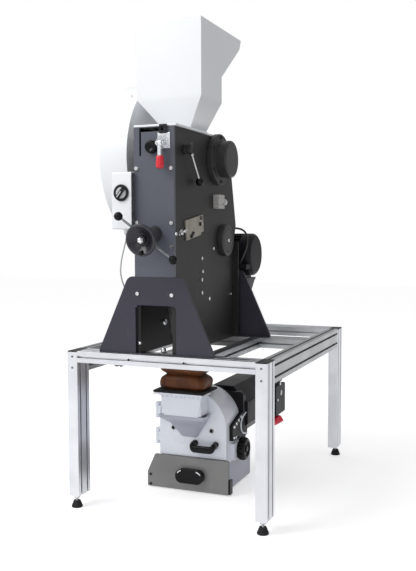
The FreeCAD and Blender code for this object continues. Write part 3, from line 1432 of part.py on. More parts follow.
def sleeve_skin(inset):
    """Loft of the sleeve's girth at each height, drawn in by its wall where inset is set."""
    rings = []
    rise = SLEEVE_TOP - SLEEVE_FOOT
    for height, girth in zip(SLEEVE_RISE_SHARES, SLEEVE_GIRTH_SHARES):
        half_w = SLEEVE_W * girth / 2 - inset
        half_d = SLEEVE_D * girth / 2 - inset
        z = SLEEVE_FOOT + rise * height
        corners = [
            Vector(FEED_X - half_w, FEED_Y - half_d, z), Vector(FEED_X + half_w, FEED_Y - half_d, z),
            Vector(FEED_X + half_w, FEED_Y + half_d, z), Vector(FEED_X - half_w, FEED_Y + half_d, z),
        ]
        rings.append(rounded_wire(corners, [SLEEVE_CORNER - inset] * len(corners)))
    return Part.makeLoft(rings, True, False)


def flexible_sleeve():
    """Soft sleeve with its bulge and waist, open right through."""
    return sleeve_skin(0).cut(sleeve_skin(SLEEVE_T))


def seal_plate():
    """Rubber plate under the sleeve, on top of the feed box."""
    x0, x1 = FEED_X - SEAL_LEFT, FEED_X + SEAL_RIGHT
    sheet = panel("z", x0, x1, SEAL_FRONT_Y, SEAL_BACK_Y, SEAL_Z, SEAL_Z + SEAL_T, CAP_R)
    half_w, half_d = SLEEVE_W / 2 - BOX_SKIRT, SLEEVE_D / 2 - BOX_SKIRT
    hole = box(FEED_X - half_w, FEED_X + half_w, FEED_Y - half_d, DOOR_Y - BOX_SKIRT,
               SEAL_Z - OVER, SEAL_Z + SEAL_T + OVER)
    return sheet.cut(hole)


# Disc mill
def arch(radius, low, y0, y1):
    """Round-topped block across the mill's middle."""
    left = Vector(MILL_X - radius, y0, MILL_Z)
    right = Vector(MILL_X + radius, y0, MILL_Z)
    low_left, low_right = Vector(left.x, y0, low), Vector(right.x, y0, low)
    edges = [
        Part.LineSegment(low_left, low_right).toShape(), Part.LineSegment(low_right, right).toShape(),
        Part.Arc(right, Vector(MILL_X, y0, MILL_Z + radius), left).toShape(),
        Part.LineSegment(left, low_left).toShape(),
    ]
    return Part.Face(Part.Wire(edges)).extrude(Vector(0, y1 - y0, 0))


def hinge_rises():
    """Lower end of each of the door's two hinge knuckles."""
    return [DOOR_LOW + DOOR_KNUCKLE_L * DOOR_HINGE_SHARE, MILL_Z + DOOR_KNUCKLE_L]


def mill_housing():
    """Grinding housing with its chamber, outlet, shaft bore and fixed hinge lugs."""
    body = arch(MILL_R, BASE_TOP, HOUSING_Y, DRUM_BACK_Y)
    chamber = rod("y", MILL_X, MILL_Z, MILL_BORE_R, HOUSING_Y - OVER, CHAMBER_BACK_Y)
    shaft = rod("y", MILL_X, MILL_Z, MILL_SHAFT_R + RUN_GAP, HOUSING_Y, DRUM_BACK_Y + OVER)
    outlet = box(MILL_X - OUTLET_W / 2, MILL_X + OUTLET_W / 2, HOUSING_Y + DRUM_WALL, CHAMBER_BACK_Y - OVER,
                 BASE_TOP - OVER, MILL_Z)
    side = MILL_X + MILL_R
    knob = rod("x", GAP_KNOB_Y, GAP_KNOB_Z, GAP_NECK_R + RUN_GAP, side - GAP_NECK, side + OVER)
    body = body.cut([chamber, shaft, outlet, knob])
    edge = MILL_X - MILL_R
    lugs = []
    for low in hinge_rises():
        for z0 in (low - GAP - DOOR_LUG_H, low + DOOR_KNUCKLE_L + GAP):
            z1 = z0 + DOOR_LUG_H
            lugs.append(rod("z", DOOR_PIN_X, DOOR_PIN_Y, DOOR_KNUCKLE_R, z0, z1))
            x0, x1 = DOOR_PIN_X - DOOR_KNUCKLE_R, DOOR_PIN_X + DOOR_PIN_R
            back = HOUSING_Y + DOOR_LUG_D
            lugs.append(box(x0, x1, DOOR_PIN_Y, back, z0, z1))
            lugs.append(box(x0, edge + OVER, HOUSING_Y + GAP, back, z0, z1))
        pin_low, pin_top = low - GAP - DOOR_LUG_H, low + DOOR_KNUCKLE_L + GAP + DOOR_LUG_H
        lugs.append(rod("z", DOOR_PIN_X, DOOR_PIN_Y, DOOR_PIN_R, pin_low, pin_top))
    return fuse(body, *lugs)


def mill_door():
    """Front door of the mill with its two knuckles and the hole for the feed."""
    door = arch(MILL_R, DOOR_LOW, DOOR_Y, DOOR_BACK_Y)
    door = door.cut(rod("y", MILL_X, MILL_Z, FEED_BORE_R, DOOR_Y - OVER, DOOR_BACK_Y + OVER))
    edge = MILL_X - MILL_R
    pieces = []
    for low in hinge_rises():
        high = low + DOOR_KNUCKLE_L
        pieces.append(rod("z", DOOR_PIN_X, DOOR_PIN_Y, DOOR_KNUCKLE_R, low, high))
        pieces.append(box(DOOR_PIN_X, edge + OVER, DOOR_Y, DOOR_BACK_Y, low, high))
    for side in (-1, 1):
        x = MILL_X + side * PLUG_X
        pieces.append(rod("y", x, MILL_Z - PLUG_DROP, PLUG_R, DOOR_Y - PLUG_T, DOOR_Y))
    door = fuse(door, *pieces)
    for low in hinge_rises():
        bore = rod("z", DOOR_PIN_X, DOOR_PIN_Y, DOOR_PIN_R + RUN_GAP, low - GAP, low + DOOR_KNUCKLE_L + GAP)
        door = door.cut(bore)
    return door


def spout(inset):
    """Rounded chute under the feed box, sloping back to the door."""
    half, low, radius = SPOUT_W / 2 - inset, SPOUT_LOW + inset, SPOUT_R
    waist = SPOUT_LOW + SPOUT_R
    outline = [
        (FEED_X - half, BOX_LOW), (FEED_X - radius, low), (FEED_X + radius, low), (FEED_X + half, BOX_LOW),
    ]
    soft = radius * SPOUT_ROUND_SHARE
    front = plate("y", outline, BOX_FRONT_Y, DOOR_Y, [0, soft, soft, 0])
    near = BOX_FRONT_Y + BOX_T + inset
    lip = DOOR_Y - SPOUT_OUT * SPOUT_FOOT_SHARE + inset
    slope = [(near, BOX_LOW), (near, BOX_LOW - BOX_SKIRT), (lip, waist), (DOOR_Y, low), (DOOR_Y, BOX_LOW)]
    side = plate("x", slope, FEED_X - SPOUT_W, FEED_X + SPOUT_W)
    return front.common(side)


def feed_box():
    """Box that takes the sleeve's grit, with its top flange and the chute to the door's hole."""
    x0, x1 = FEED_X - BOX_W / 2, FEED_X + BOX_W / 2
    outer = box(x0, x1, BOX_FRONT_Y, DOOR_Y, BOX_LOW, MILL_TOP)
    flange = box(x0 - BOX_FLANGE_OUT, x1 + BOX_FLANGE_OUT, BOX_FRONT_Y - BOX_FLANGE_OUT, DOOR_Y,
                 MILL_TOP - BOX_FLANGE_T, MILL_TOP)
    room = box(x0 + BOX_T, x1 - BOX_T, BOX_FRONT_Y + BOX_T, DOOR_Y - BOX_T, BOX_LOW + BOX_T, MILL_TOP + OVER)
    neck = box(x0 + BOX_SKIRT, x1 - BOX_SKIRT, BOX_FRONT_Y + BOX_SKIRT, DOOR_Y - BOX_T,
               BOX_LOW - BOX_T, BOX_LOW + BOX_T + BOX_T)
    whole = fuse(outer, flange, spout(0))
    return whole.cut([room, neck, spout(BOX_T)])


def door_handle():
    """Bridge handle across the mill's door."""
    half = BRIDGE_W / 2
    x = MILL_X + BRIDGE_X
    y = DOOR_Y - BRIDGE_OUT
    bar_piece = rod("x", y, BRIDGE_Z, BRIDGE_R, x - half, x + half)
    apart = half - BRIDGE_R - BRIDGE_R
    posts = [rod("y", x + side * apart, BRIDGE_Z, BRIDGE_POST_R, y, DOOR_Y) for side in (-1, 1)]
    return fuse(bar_piece, *posts)


def mill_base():
    """Hollow plinth on four feet, open in front for the drawer and on top for the grit."""
    outer = box(BASE_X0, BASE_X1, BASE_Y, BASE_BACK_Y, BASE_FOOT, BASE_TOP)
    room = box(BASE_X0 + BASE_T, BASE_X1 - BASE_T, BASE_Y - OVER, BASE_BACK_Y - BASE_T,
               BASE_FOOT + BASE_T, BASE_TOP - BASE_T)
    outlet = box(MILL_X - OUTLET_W / 2, MILL_X + OUTLET_W / 2, HOUSING_Y + DRUM_WALL, CHAMBER_BACK_Y - OVER,
                 BASE_TOP - BASE_T - OVER, BASE_TOP + OVER)
    feet = []
    for x in (BASE_X0 + PAD_R, BASE_X1 - PAD_R):
        for y in (BASE_Y + PAD_R, BASE_BACK_Y - PAD_R):
            feet.append(rod("z", x, y, PAD_TOP_R, 0, BASE_FOOT))
    return fuse(outer.cut([room, outlet]), *feet)


def collector_drawer():
    """Drawer with its wide face, cut off at one top corner."""
    x0, x1 = MILL_X - DRAWER_LEFT, MILL_X + DRAWER_RIGHT
    outline = [
        (x0, DRAWER_LOW), (x1, DRAWER_LOW), (x1, DRAWER_TOP), (x0 + DRAWER_CUT_X, DRAWER_TOP),
        (x0, DRAWER_TOP - DRAWER_CUT_Z),
    ]
    back = DRAWER_FRONT_Y + DRAWER_FACE_T
    face = plate("y", outline, DRAWER_FRONT_Y, back, CAP_R)
    low = BASE_FOOT + BASE_T + GAP
    side0, side1 = BASE_X0 + BASE_T + DRAWER_SLACK, BASE_X1 - BASE_T - DRAWER_SLACK
    end = BASE_BACK_Y - BASE_T - DRAWER_BACK_GAP
    top = BASE_TOP - BASE_T - DRAWER_SLACK
    tray = box(side0, side1, back, end, low, top)
    room = box(side0 + DRAWER_T, side1 - DRAWER_T, back + DRAWER_T, end - DRAWER_T,
               low + DRAWER_T, top + OVER)
    return fuse(face, tray.cut(room))


def drawer_handle():
    """Oval pull on the drawer's face and the catch at its right edge."""
    x = MILL_X + PULL_X
    half_w, half_h = PULL_W / 2, PULL_H / 2
    y0 = DRAWER_FRONT_Y - PULL_OUT
    outer = panel("y", x - half_w, x + half_w, PULL_Z - half_h, PULL_Z + half_h, y0, DRAWER_FRONT_Y,
                  half_h - CAP_R)
    cup = box(x - half_w + PULL_BAR, x + half_w - PULL_BAR, y0 + PULL_BAR, DRAWER_FRONT_Y + OVER,
              PULL_Z - half_h - OVER, PULL_Z + half_h - PULL_BAR)
    edge = MILL_X + DRAWER_RIGHT
    catch = panel("x", DRAWER_FRONT_Y, DRAWER_FRONT_Y + LATCH_D, LATCH_LOW, LATCH_TOP,
                  edge, edge + LATCH_W, CAP_R)
    return [outer.cut(cup), catch]


def fixed_disc():
    """Grinding disc on the back of the door, with the feed hole in its middle."""
    return tube("y", MILL_X, MILL_Z, DISC_R, FEED_BORE_R, DOOR_BACK_Y, DOOR_BACK_Y + DISC_T)


def turning_disc():
    """Grinding disc on the mill's shaft."""
    front = DOOR_BACK_Y + DISC_T + DISC_GAP
    disc = rod("y", MILL_X, MILL_Z, DISC_R, front, front + DISC_T)
    shaft = rod("y", MILL_X, MILL_Z, MILL_SHAFT_R, front, DRUM_BACK_Y + GEAR_CASE_D / 2)
    return fuse(disc, shaft)


def mill_motor():
    """Eight-sided motor on its gear case, with a foot on the plinth."""
    x = MILL_X + MILL_MOTOR_X
    corner = MILL_MOTOR_R / math.cos(math.pi / MILL_MOTOR_SIDES)
    outline = ring_points(x, MILL_MOTOR_Z, corner, MILL_MOTOR_SIDES, 0.5)
    case_back = DRUM_BACK_Y + GEAR_CASE_D
    body = plate("y", outline, case_back, MILL_MOTOR_Y + MILL_MOTOR_L, CAP_R * 2)
    case = panel("y", MILL_X - MILL_R / 2, x + MILL_MOTOR_R - BRACKET_OUT / 2, MILL_MOTOR_Z - MILL_MOTOR_R,
                 MILL_MOTOR_Z + MILL_MOTOR_R - BRACKET_OUT, DRUM_BACK_Y, case_back, BRACKET_OUT)
    half = MILL_MOTOR_R * MOTOR_FOOT_SHARE
    foot = box(x - half, x + half, case_back + half, BASE_BACK_Y - half / 2, BASE_TOP, MILL_MOTOR_Z - half)
    motor = fuse(body, case, foot)
    bore_end = DRUM_BACK_Y + GEAR_CASE_D / 2 + GAP
    bore = rod("y", MILL_X, MILL_Z, MILL_SHAFT_R + RUN_GAP, DRUM_BACK_Y - OVER, bore_end)
    return motor.cut(bore)


def side_bracket():
    """Black plate on the right of the housing, with its bolt heads."""
    x0 = MILL_X + MILL_R
    face = x0 + BRACKET_OUT
    bracket = panel("x", BRACKET_Y, BRACKET_Y + BRACKET_D, BRACKET_Z, BRACKET_Z + BRACKET_H - BRACKET_BEND,
                    x0, face, CAP_R)
    bolts = []
    for along in BRACKET_BOLT_SHARES:
        y = BRACKET_Y + BRACKET_D * along
        bolts.append(rod("x", y, BRACKET_Z + BRACKET_T, BOLT_R, face, face + BOLT_HEAD))
    return fuse(bracket, *bolts)


def gap_knob():
    """Round knob that sets the gap between the discs."""
    x0 = MILL_X + MILL_R + GAP_NECK
    knob = rod("x", GAP_KNOB_Y, GAP_KNOB_Z, GAP_KNOB_R, x0, x0 + GAP_KNOB_L)
    knob = soft_end(knob, "x", x0 + GAP_KNOB_L, CAP_R)
    neck = rod("x", GAP_KNOB_Y, GAP_KNOB_Z, GAP_NECK_R, MILL_X + MILL_R - GAP_NECK + GAP, x0)
    return fuse(knob, neck)


save("wall_plates", latch_plate(), scale_block())
save("switch_box", switch_box(), lead_entry())
save("rotary_switch", rotary_switch())
save("motor_cable", cord("motor_cable", CABLE_ROUTE, CABLE_R))
save("switch_lead", cord("switch_lead", LEAD_ROUTE, LEAD_R))
save("control_box", control_box())
save("red_button", red_button())
save("drop_chute", drop_chute())
save("flexible_sleeve", flexible_sleeve())
save("seal_plate", seal_plate())
save("mill_housing", mill_housing())
save("mill_door", mill_door())
save("feed_box", feed_box())
save("door_handle", door_handle())
save("mill_base", mill_base())
save("collector_drawer", collector_drawer())
save("drawer_handle", *drawer_handle())
save("fixed_disc", fixed_disc())
save("turning_disc", turning_disc())
save("mill_motor", mill_motor())
save("side_bracket", side_bracket())
save("gap_knob", gap_knob())
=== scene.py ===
"""Looks of a two-stage lab mill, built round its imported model.

A jaw crusher stands on a frame of slotted bars and drops its grit through a flexible sleeve
into a disc mill on the floor. Places are written in millimetres as on a bench drawing: X from
the stand's middle, Y back from the stand's front face and Z up from the floor.
"""

import json
import logging
import math
from collections.abc import Sequence
from dataclasses import dataclass, replace
from enum import Enum

import bpy
from mathutils import Matrix, Vector

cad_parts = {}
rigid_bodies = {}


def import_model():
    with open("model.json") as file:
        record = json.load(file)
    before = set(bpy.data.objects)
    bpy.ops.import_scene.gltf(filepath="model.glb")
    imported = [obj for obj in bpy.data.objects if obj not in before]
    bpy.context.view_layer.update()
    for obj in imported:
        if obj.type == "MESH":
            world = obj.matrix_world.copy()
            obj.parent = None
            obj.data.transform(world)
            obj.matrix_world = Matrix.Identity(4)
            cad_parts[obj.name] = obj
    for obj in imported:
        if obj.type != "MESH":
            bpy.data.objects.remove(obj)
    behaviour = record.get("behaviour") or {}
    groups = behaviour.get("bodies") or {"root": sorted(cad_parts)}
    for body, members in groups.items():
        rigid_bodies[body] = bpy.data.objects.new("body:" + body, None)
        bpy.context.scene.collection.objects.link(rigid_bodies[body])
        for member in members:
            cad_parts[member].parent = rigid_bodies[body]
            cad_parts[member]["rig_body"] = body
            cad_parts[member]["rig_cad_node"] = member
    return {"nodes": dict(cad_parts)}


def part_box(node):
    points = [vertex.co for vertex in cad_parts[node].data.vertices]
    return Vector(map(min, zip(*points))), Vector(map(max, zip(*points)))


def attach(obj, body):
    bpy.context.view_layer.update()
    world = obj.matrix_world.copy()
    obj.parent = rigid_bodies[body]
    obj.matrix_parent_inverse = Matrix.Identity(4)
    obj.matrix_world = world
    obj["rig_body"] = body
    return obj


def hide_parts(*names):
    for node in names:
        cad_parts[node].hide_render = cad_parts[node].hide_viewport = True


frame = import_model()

LOG = logging.getLogger("lab_mill")
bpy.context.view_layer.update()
STAND_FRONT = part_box("leg_front_left")[0].y
MM = 0.001
WELD = 0.00002
NODE_WELD = WELD / 4
FLAT_DEGREES = 0.6
SHAFT = (405.0, 1262.0)
WALL_X = 38.0
UP = Vector((0.0, 0.0, 1.0))
RIGHT = Vector((1.0, 0.0, 0.0))
BACK = Vector((0.0, 1.0, 0.0))
Color = tuple[float, float, float]
Pair = tuple[float, float]
Triple = tuple[float, float, float]


def at(x: float, y: float, z: float) -> Vector:
    """Point of the bench drawing, in metres in the frame."""
    return Vector((x * MM, y * MM + STAND_FRONT, z * MM))


# Shared surface effects, each a node group that gives colours, masks and heights
FLOAT = "NodeSocketFloat"
COLOR = "NodeSocketColor"
VECTOR = "NodeSocketVector"
WHITE = (1.0, 1.0, 1.0, 1.0)
DUST_COLOR = (0.34, 0.33, 0.31, 1.0)
DUST_SCALE = 14.0
COAT_ROUGHNESS = 0.08
Term = bpy.types.NodeSocket | float


class Effect(Enum):
    """Names of the shared node groups."""

    MOTTLE = "mottle"
    PEEL = "powder_peel"
    DRAWN = "drawn_lines"
    DUST = "settled_dust"
    SCUFF = "fine_scuffs"
    WEAVE = "coarse_weave"


@dataclass
class Wires:
    """Nodes and links of one node tree."""

    tree: bpy.types.NodeTree

    def link(self, start: bpy.types.NodeSocket, end: bpy.types.NodeSocket) -> None:
        """Join two sockets."""
        self.tree.links.new(start, end)

    def node(self, kind: str, **settings: object) -> bpy.types.Node:
        """Add a node with its settings.

        Args:
            kind: Blender's name of the node.
            settings: attributes to set on it.

        Returns:
            The new node.
        """
        made = self.tree.nodes.new(kind)
        for name, value in settings.items():
            setattr(made, name, value)
        return made

    def effect(self, effect: Effect, **values: object) -> bpy.types.Node:
        """Place a shared effect with its own values.

        Args:
            effect: which of the shared node groups.
            values: what to set on its named inputs.

        Returns:
            The new node.
        """
        made = self.node("ShaderNodeGroup", node_tree=bpy.data.node_groups[effect.value])
        for name, value in values.items():
            made.inputs[name].default_value = value
        return made

    def math(self, step: str, first: Term, second: Term, clamp: bool = False) -> bpy.types.NodeSocket:
        """Sum, product or other step on two sockets or numbers.

        Args:
            step: Blender's name of the operation.
            first: socket or number.
            second: socket or number.
            clamp: keep the result between zero and one.

        Returns:
            The result's socket.
        """
        made = self.node("ShaderNodeMath", operation=step, use_clamp=clamp)
        for socket, value in zip(made.inputs, (first, second)):
            if isinstance(value, bpy.types.NodeSocket):
                self.link(value, socket)
            else:
                socket.default_value = value
        return made.outputs[0]

    def spread(self, value: bpy.types.NodeSocket, low: float, high: float,
               to_low: float = 0.0, to_high: float = 1.0) -> bpy.types.NodeSocket:
        """Part of a value between two bounds, stretched to run between two others.

        Args:
            value: the value's socket.
            low: the value's lower bound.
            high: the value's upper bound.
            to_low: what the lower bound becomes.
            to_high: what the upper bound becomes.

        Returns:
            The stretched value's socket.
        """
        made = self.node("ShaderNodeMapRange")
        self.link(value, made.inputs["Value"])
        for name, bound in (("From Min", low), ("From Max", high), ("To Min", to_low), ("To Max", to_high)):
            made.inputs[name].default_value = bound
        return made.outputs["Result"]

    def blend(self, share: bpy.types.NodeSocket, first: bpy.types.NodeSocket,
              second: bpy.types.NodeSocket) -> bpy.types.NodeSocket:
        """Mix of two colours.

        Args:
            share: how much of the second colour there is.
            first: the first colour's socket.
            second: the second colour's socket.

        Returns:
            The mixed colour's socket.
        """
        made = self.node("ShaderNodeMix", data_type="RGBA")
        for index, socket in ((0, share), (6, first), (7, second)):
            self.link(socket, made.inputs[index])
        return made.outputs[2]

    def noise(self, scale: Term, detail: float, stretch: Triple | bpy.types.NodeSocket | None = None,
              ) -> bpy.types.NodeSocket:
        """Cloudy pattern on the piece's own coordinates.

        Args:
            scale: socket or number that gives the pattern's scale.
            detail: how many finer layers it has.
            stretch: factors for the coordinates, as a socket or as numbers, or none.

        Returns:
            The pattern's value, about a half.
        """
        made = self.node("ShaderNodeTexNoise")
        made.inputs["Detail"].default_value = detail
        if isinstance(scale, bpy.types.NodeSocket):
            self.link(scale, made.inputs["Scale"])
        else:
            made.inputs["Scale"].default_value = scale
        place = self.node("ShaderNodeTexCoord").outputs["Object"]
        if stretch is not None:
            scaled = self.node("ShaderNodeVectorMath", operation="MULTIPLY")
            self.link(place, scaled.inputs[0])
            if isinstance(stretch, bpy.types.NodeSocket):
                self.link(stretch, scaled.inputs[1])
            else:
                scaled.inputs[1].default_value = stretch
            place = scaled.outputs["Vector"]
        self.link(place, made.inputs["Vector"])
        return made.outputs["Fac"]


class EffectGroup(Wires):
    """Shared node group under construction, with its two end nodes."""

    def __init__(self, effect: Effect, inputs: Sequence[tuple[str, str, object]],
                 outputs: Sequence[tuple[str, str]]) -> None:
        """Make the group with its named sockets.

        Args:
            effect: which effect it is.
            inputs: name, kind and first value of each input.
            outputs: name and kind of each output.
        """
        super().__init__(bpy.data.node_groups.new(effect.value, "ShaderNodeTree"))
        for name, kind, value in inputs:
            socket = self.tree.interface.new_socket(name=name, in_out="INPUT", socket_type=kind)
            socket.default_value = value
        for name, kind in outputs:
            self.tree.interface.new_socket(name=name, in_out="OUTPUT", socket_type=kind)
        self.source = self.node("NodeGroupInput").outputs
        self.result = self.node("NodeGroupOutput").inputs


def mottle_group() -> None:
    """Slow variation of colour and gloss over a surface."""
    group = EffectGroup(
        Effect.MOTTLE,
        [("Color", COLOR, WHITE), ("Second", COLOR, WHITE), ("Scale", FLOAT, 6.0),
         ("Roughness", FLOAT, 0.4), ("Spread", FLOAT, 0.1)],
        [("Color", COLOR), ("Roughness", FLOAT)],
    )
    share = group.spread(group.noise(group.source["Scale"], 4.0), 0.32, 0.68)
    group.link(group.blend(share, group.source["Color"], group.source["Second"]), group.result["Color"])
    offset = group.math("MULTIPLY", group.math("SUBTRACT", share, 0.5), group.source["Spread"])
    group.link(group.math("ADD", group.source["Roughness"], offset, True), group.result["Roughness"])


def peel_group() -> None:
    """Fine pimpled relief of powder coat, moulded plastic or castings."""
    group = EffectGroup(
        Effect.PEEL, [("Scale", FLOAT, 400.0), ("Coarse", FLOAT, 0.3)], [("Height", FLOAT)],
    )
    fine = group.noise(group.source["Scale"], 2.0)
    wide = group.noise(group.math("MULTIPLY", group.source["Scale"], 0.18), 2.0)
    low = group.math("MULTIPLY", wide, group.source["Coarse"])
    group.link(group.math("ADD", fine, low), group.result["Height"])


def drawn_group() -> None:
    """Fine lines along one direction, as drawing, rolling or grinding leaves them."""
    group = EffectGroup(
        Effect.DRAWN, [("Stretch", VECTOR, (1.0, 1.0, 0.01)), ("Scale", FLOAT, 900.0)], [("Height", FLOAT)],
    )
    group.link(group.noise(group.source["Scale"], 3.0, group.source["Stretch"]), group.result["Height"])


def dust_group() -> None:
    """Thin dust on what faces up, heavier in patches."""
    group = EffectGroup(
        Effect.DUST,
        [("Color", COLOR, WHITE), ("Dust Color", COLOR, WHITE), ("Amount", FLOAT, 0.2),
         ("Roughness", FLOAT, 0.4)],
        [("Color", COLOR), ("Roughness", FLOAT)],
    )
    split = group.node("ShaderNodeSeparateXYZ")
    group.link(group.node("ShaderNodeNewGeometry").outputs["Normal"], split.inputs[0])
    upward = group.spread(split.outputs["Z"], 0.35, 0.95)
    patches = group.spread(group.noise(DUST_SCALE, 5.0), 0.25, 0.75)
    share = group.math("MULTIPLY", group.math("MULTIPLY", upward, patches), group.source["Amount"], True)
    group.link(group.blend(share, group.source["Color"], group.source["Dust Color"]), group.result["Color"])
    rise = group.math("MULTIPLY", share, 0.35)
    group.link(group.math("ADD", group.source["Roughness"], rise, True), group.result["Roughness"])


def scuff_group() -> None:
    """Sparse short scuffs that lie across each other."""
    group = EffectGroup(
        Effect.SCUFF, [("Amount", FLOAT, 0.3), ("Scale", FLOAT, 30.0)], [("Mask", FLOAT)],
    )
    masks = [group.spread(group.noise(group.source["Scale"], 6.0, stretch), 0.66, 0.72)
             for stretch in ((1.0, 0.12, 0.3), (0.2, 1.0, 0.09))]
    both = group.math("MAXIMUM", *masks)
    group.link(group.math("MULTIPLY", both, group.source["Amount"], True), group.result["Mask"])


def weave_group() -> None:
    """Over and under of a coarse cloth, on the piece's own map."""
    group = EffectGroup(Effect.WEAVE, [("Count", FLOAT, 120.0)], [("Height", FLOAT)])
    split = group.node("ShaderNodeSeparateXYZ")
    group.link(group.node("ShaderNodeTexCoord").outputs["UV"], split.inputs[0])
    turns = group.math("MULTIPLY", group.source["Count"], 2.0 * math.pi)
    waves = [group.math("SINE", group.math("MULTIPLY", split.outputs[axis], turns), 0.0) for axis in ("X",
                                                                                                      "Y")]
    crossed = group.math("MULTIPLY", *waves)
    group.link(group.math("ADD", group.math("MULTIPLY", crossed, 0.5), 0.5), group.result["Height"])


class Grain(Enum):
    """Relief of a finish."""

    SMOOTH = "smooth"
    PEEL = "pimpled"
    CLOTH = "woven"
    ALONG_X = "lines along x"
    ALONG_Y = "lines along y"
    ALONG_Z = "lines along z"


LINE_STRETCH: dict[Grain, Triple] = {
    Grain.ALONG_X: (0.01, 1.0, 1.0),
    Grain.ALONG_Y: (1.0, 0.01, 1.0),
    Grain.ALONG_Z: (1.0, 1.0, 0.01),
}


@dataclass(frozen=True)
class Finish:
    """One finish of the mill, with all that its material needs."""

    name: str
    color: Color
    second: Color
    roughness: float
    spread: float = 0.08
    metallic: float = 0.0
    mottle: float = 6.0
    grain: Grain = Grain.PEEL
    grain_scale: float = 420.0
    relief: float = 0.00004
    coat: float = 0.0
    dust: float = 0.12
    scuffs: float = 0.0
    sheen: float = 0.0
    specular: float = 0.5

    def material(self) -> bpy.types.Material:
        """Material of this finish, made the first time that it is asked for."""
        return bpy.data.materials.get(self.name) or self.build()

    def build(self) -> bpy.types.Material:
        """Build the nodes: mottle, then scuffs, then dust, with the relief on the normal.

        Returns:
            The new material.
        """
        made = bpy.data.materials.new(self.name)
        made.use_nodes = True
        wires = Wires(made.node_tree)
        shader = wires.tree.nodes["Principled BSDF"].inputs
        for name, value in (("Metallic", self.metallic), ("Coat Weight", self.coat),
                            ("Coat Roughness", COAT_ROUGHNESS), ("Sheen Weight", self.sheen),
                            ("Specular IOR Level", self.specular)):
            shader[name].default_value = value
        mottle = wires.effect(Effect.MOTTLE, Color=(*self.color, 1.0), Second=(*self.second, 1.0),
                              Scale=self.mottle, Roughness=self.roughness, Spread=self.spread)
        color, rough = mottle.outputs["Color"], mottle.outputs["Roughness"]
        if self.scuffs:
            color = self.scuffed(wires, color)
        if self.dust:
            dusty = wires.effect(Effect.DUST, Amount=self.dust)
            dusty.inputs["Dust Color"].default_value = DUST_COLOR
            wires.link(color, dusty.inputs["Color"])
            wires.link(rough, dusty.inputs["Roughness"])
            color, rough = dusty.outputs["Color"], dusty.outputs["Roughness"]
        wires.link(color, shader["Base Color"])
        wires.link(rough, shader["Roughness"])
        if self.grain is not Grain.SMOOTH:
            bump = wires.node("ShaderNodeBump")
            bump.inputs["Distance"].default_value = self.relief
            wires.link(self.height(wires), bump.inputs["Height"])
            wires.link(bump.outputs["Normal"], shader["Normal"])
        return made

    def scuffed(self, wires: Wires, color: bpy.types.NodeSocket) -> bpy.types.NodeSocket:
        """Colour with sparse paler scuffs over it.

        Args:
            wires: the material's nodes.
            color: socket of the colour below.

        Returns:
            Socket of the scuffed colour.
        """
        mask = wires.effect(Effect.SCUFF, Amount=self.scuffs)
        mix = wires.node("ShaderNodeMix", data_type="RGBA")
        wires.link(mask.outputs["Mask"], mix.inputs[0])
        wires.link(color, mix.inputs[6])
        mix.inputs[7].default_value = (*(min(1.0, part * 1.6 + 0.04) for part in self.color), 1.0)
        return mix.outputs[2]

    def height(self, wires: Wires) -> bpy.types.NodeSocket:
        """Height of the finish's relief.

        Args:
            wires: the material's nodes.

        Returns:
            Socket of the height.
        """
        if self.grain is Grain.CLOTH:
            relief = wires.effect(Effect.WEAVE, Count=self.grain_scale)
        elif self.grain is Grain.PEEL:
            relief = wires.effect(Effect.PEEL, Scale=self.grain_scale)
        else:
            relief = wires.effect(Effect.DRAWN, Scale=self.grain_scale, Stretch=LINE_STRETCH[self.grain])
        return relief.outputs["Height"]


BAR_X = Finish(
    "bar_anodised_x", color=(0.70, 0.71, 0.745), second=(0.62, 0.63, 0.665), roughness=0.33, spread=0.06,
    metallic=1.0, mottle=9.0, grain=Grain.ALONG_X, grain_scale=900.0, relief=0.000015, dust=0.05,
)
# Same anodised bar in a darker colour: painted shade on the side and deck rails.
BAR_Y_PAINTED_SHADE = replace(
    BAR_X, name="bar_anodised_y_painted_shade", color=(0.43, 0.44, 0.45), second=(0.37, 0.38, 0.39), roughness=0.36,
    grain=Grain.ALONG_Y,
)
BAR_Z = replace(BAR_X, name="bar_anodised_z", grain=Grain.ALONG_Z)
CAP_BLACK = Finish(
    "moulded_cap_black", color=(0.010, 0.010, 0.012), second=(0.016, 0.016, 0.018), roughness=0.46,
    grain_scale=700.0, dust=0.03, specular=0.22,
)
PHENOLIC = Finish(
    "polished_knob_black", color=(0.005, 0.005, 0.006), second=(0.008, 0.008, 0.009), roughness=0.15,
    spread=0.06, grain_scale=160.0, relief=0.00002, dust=0.0, specular=0.15,
)
WHEEL_BLACK = Finish(
    "handwheel_black", color=(0.016, 0.015, 0.021), second=(0.024, 0.022, 0.031), roughness=0.30,
    spread=0.08, grain_scale=200.0, relief=0.00003, dust=0.02, specular=0.45,
)
RUBBER = Finish(
    "black_rubber", color=(0.010, 0.010, 0.012), second=(0.018, 0.018, 0.020), roughness=0.72,
    spread=0.1, grain_scale=600.0, dust=0.05, specular=0.25,
)
CHROME = Finish(
    "polished_chrome", color=(0.78, 0.78, 0.80), second=(0.70, 0.70, 0.72), roughness=0.12, spread=0.08,
    metallic=1.0, mottle=30.0, grain=Grain.SMOOTH, dust=0.03,
)
BOLT_STEEL = Finish(
    "bright_bolt_steel", color=(0.80, 0.80, 0.81), second=(0.70, 0.70, 0.71), roughness=0.25,
    spread=0.1, metallic=1.0, mottle=60.0, grain=Grain.PEEL, grain_scale=900.0, relief=0.00001,
    dust=0.03,
)
GROUND_STEEL = Finish(
    "ground_steel", color=(0.52, 0.52, 0.53), second=(0.44, 0.44, 0.45), roughness=0.30, spread=0.12,
    metallic=1.0, mottle=20.0, grain=Grain.ALONG_X, grain_scale=700.0, relief=0.00002, dust=0.1,
)
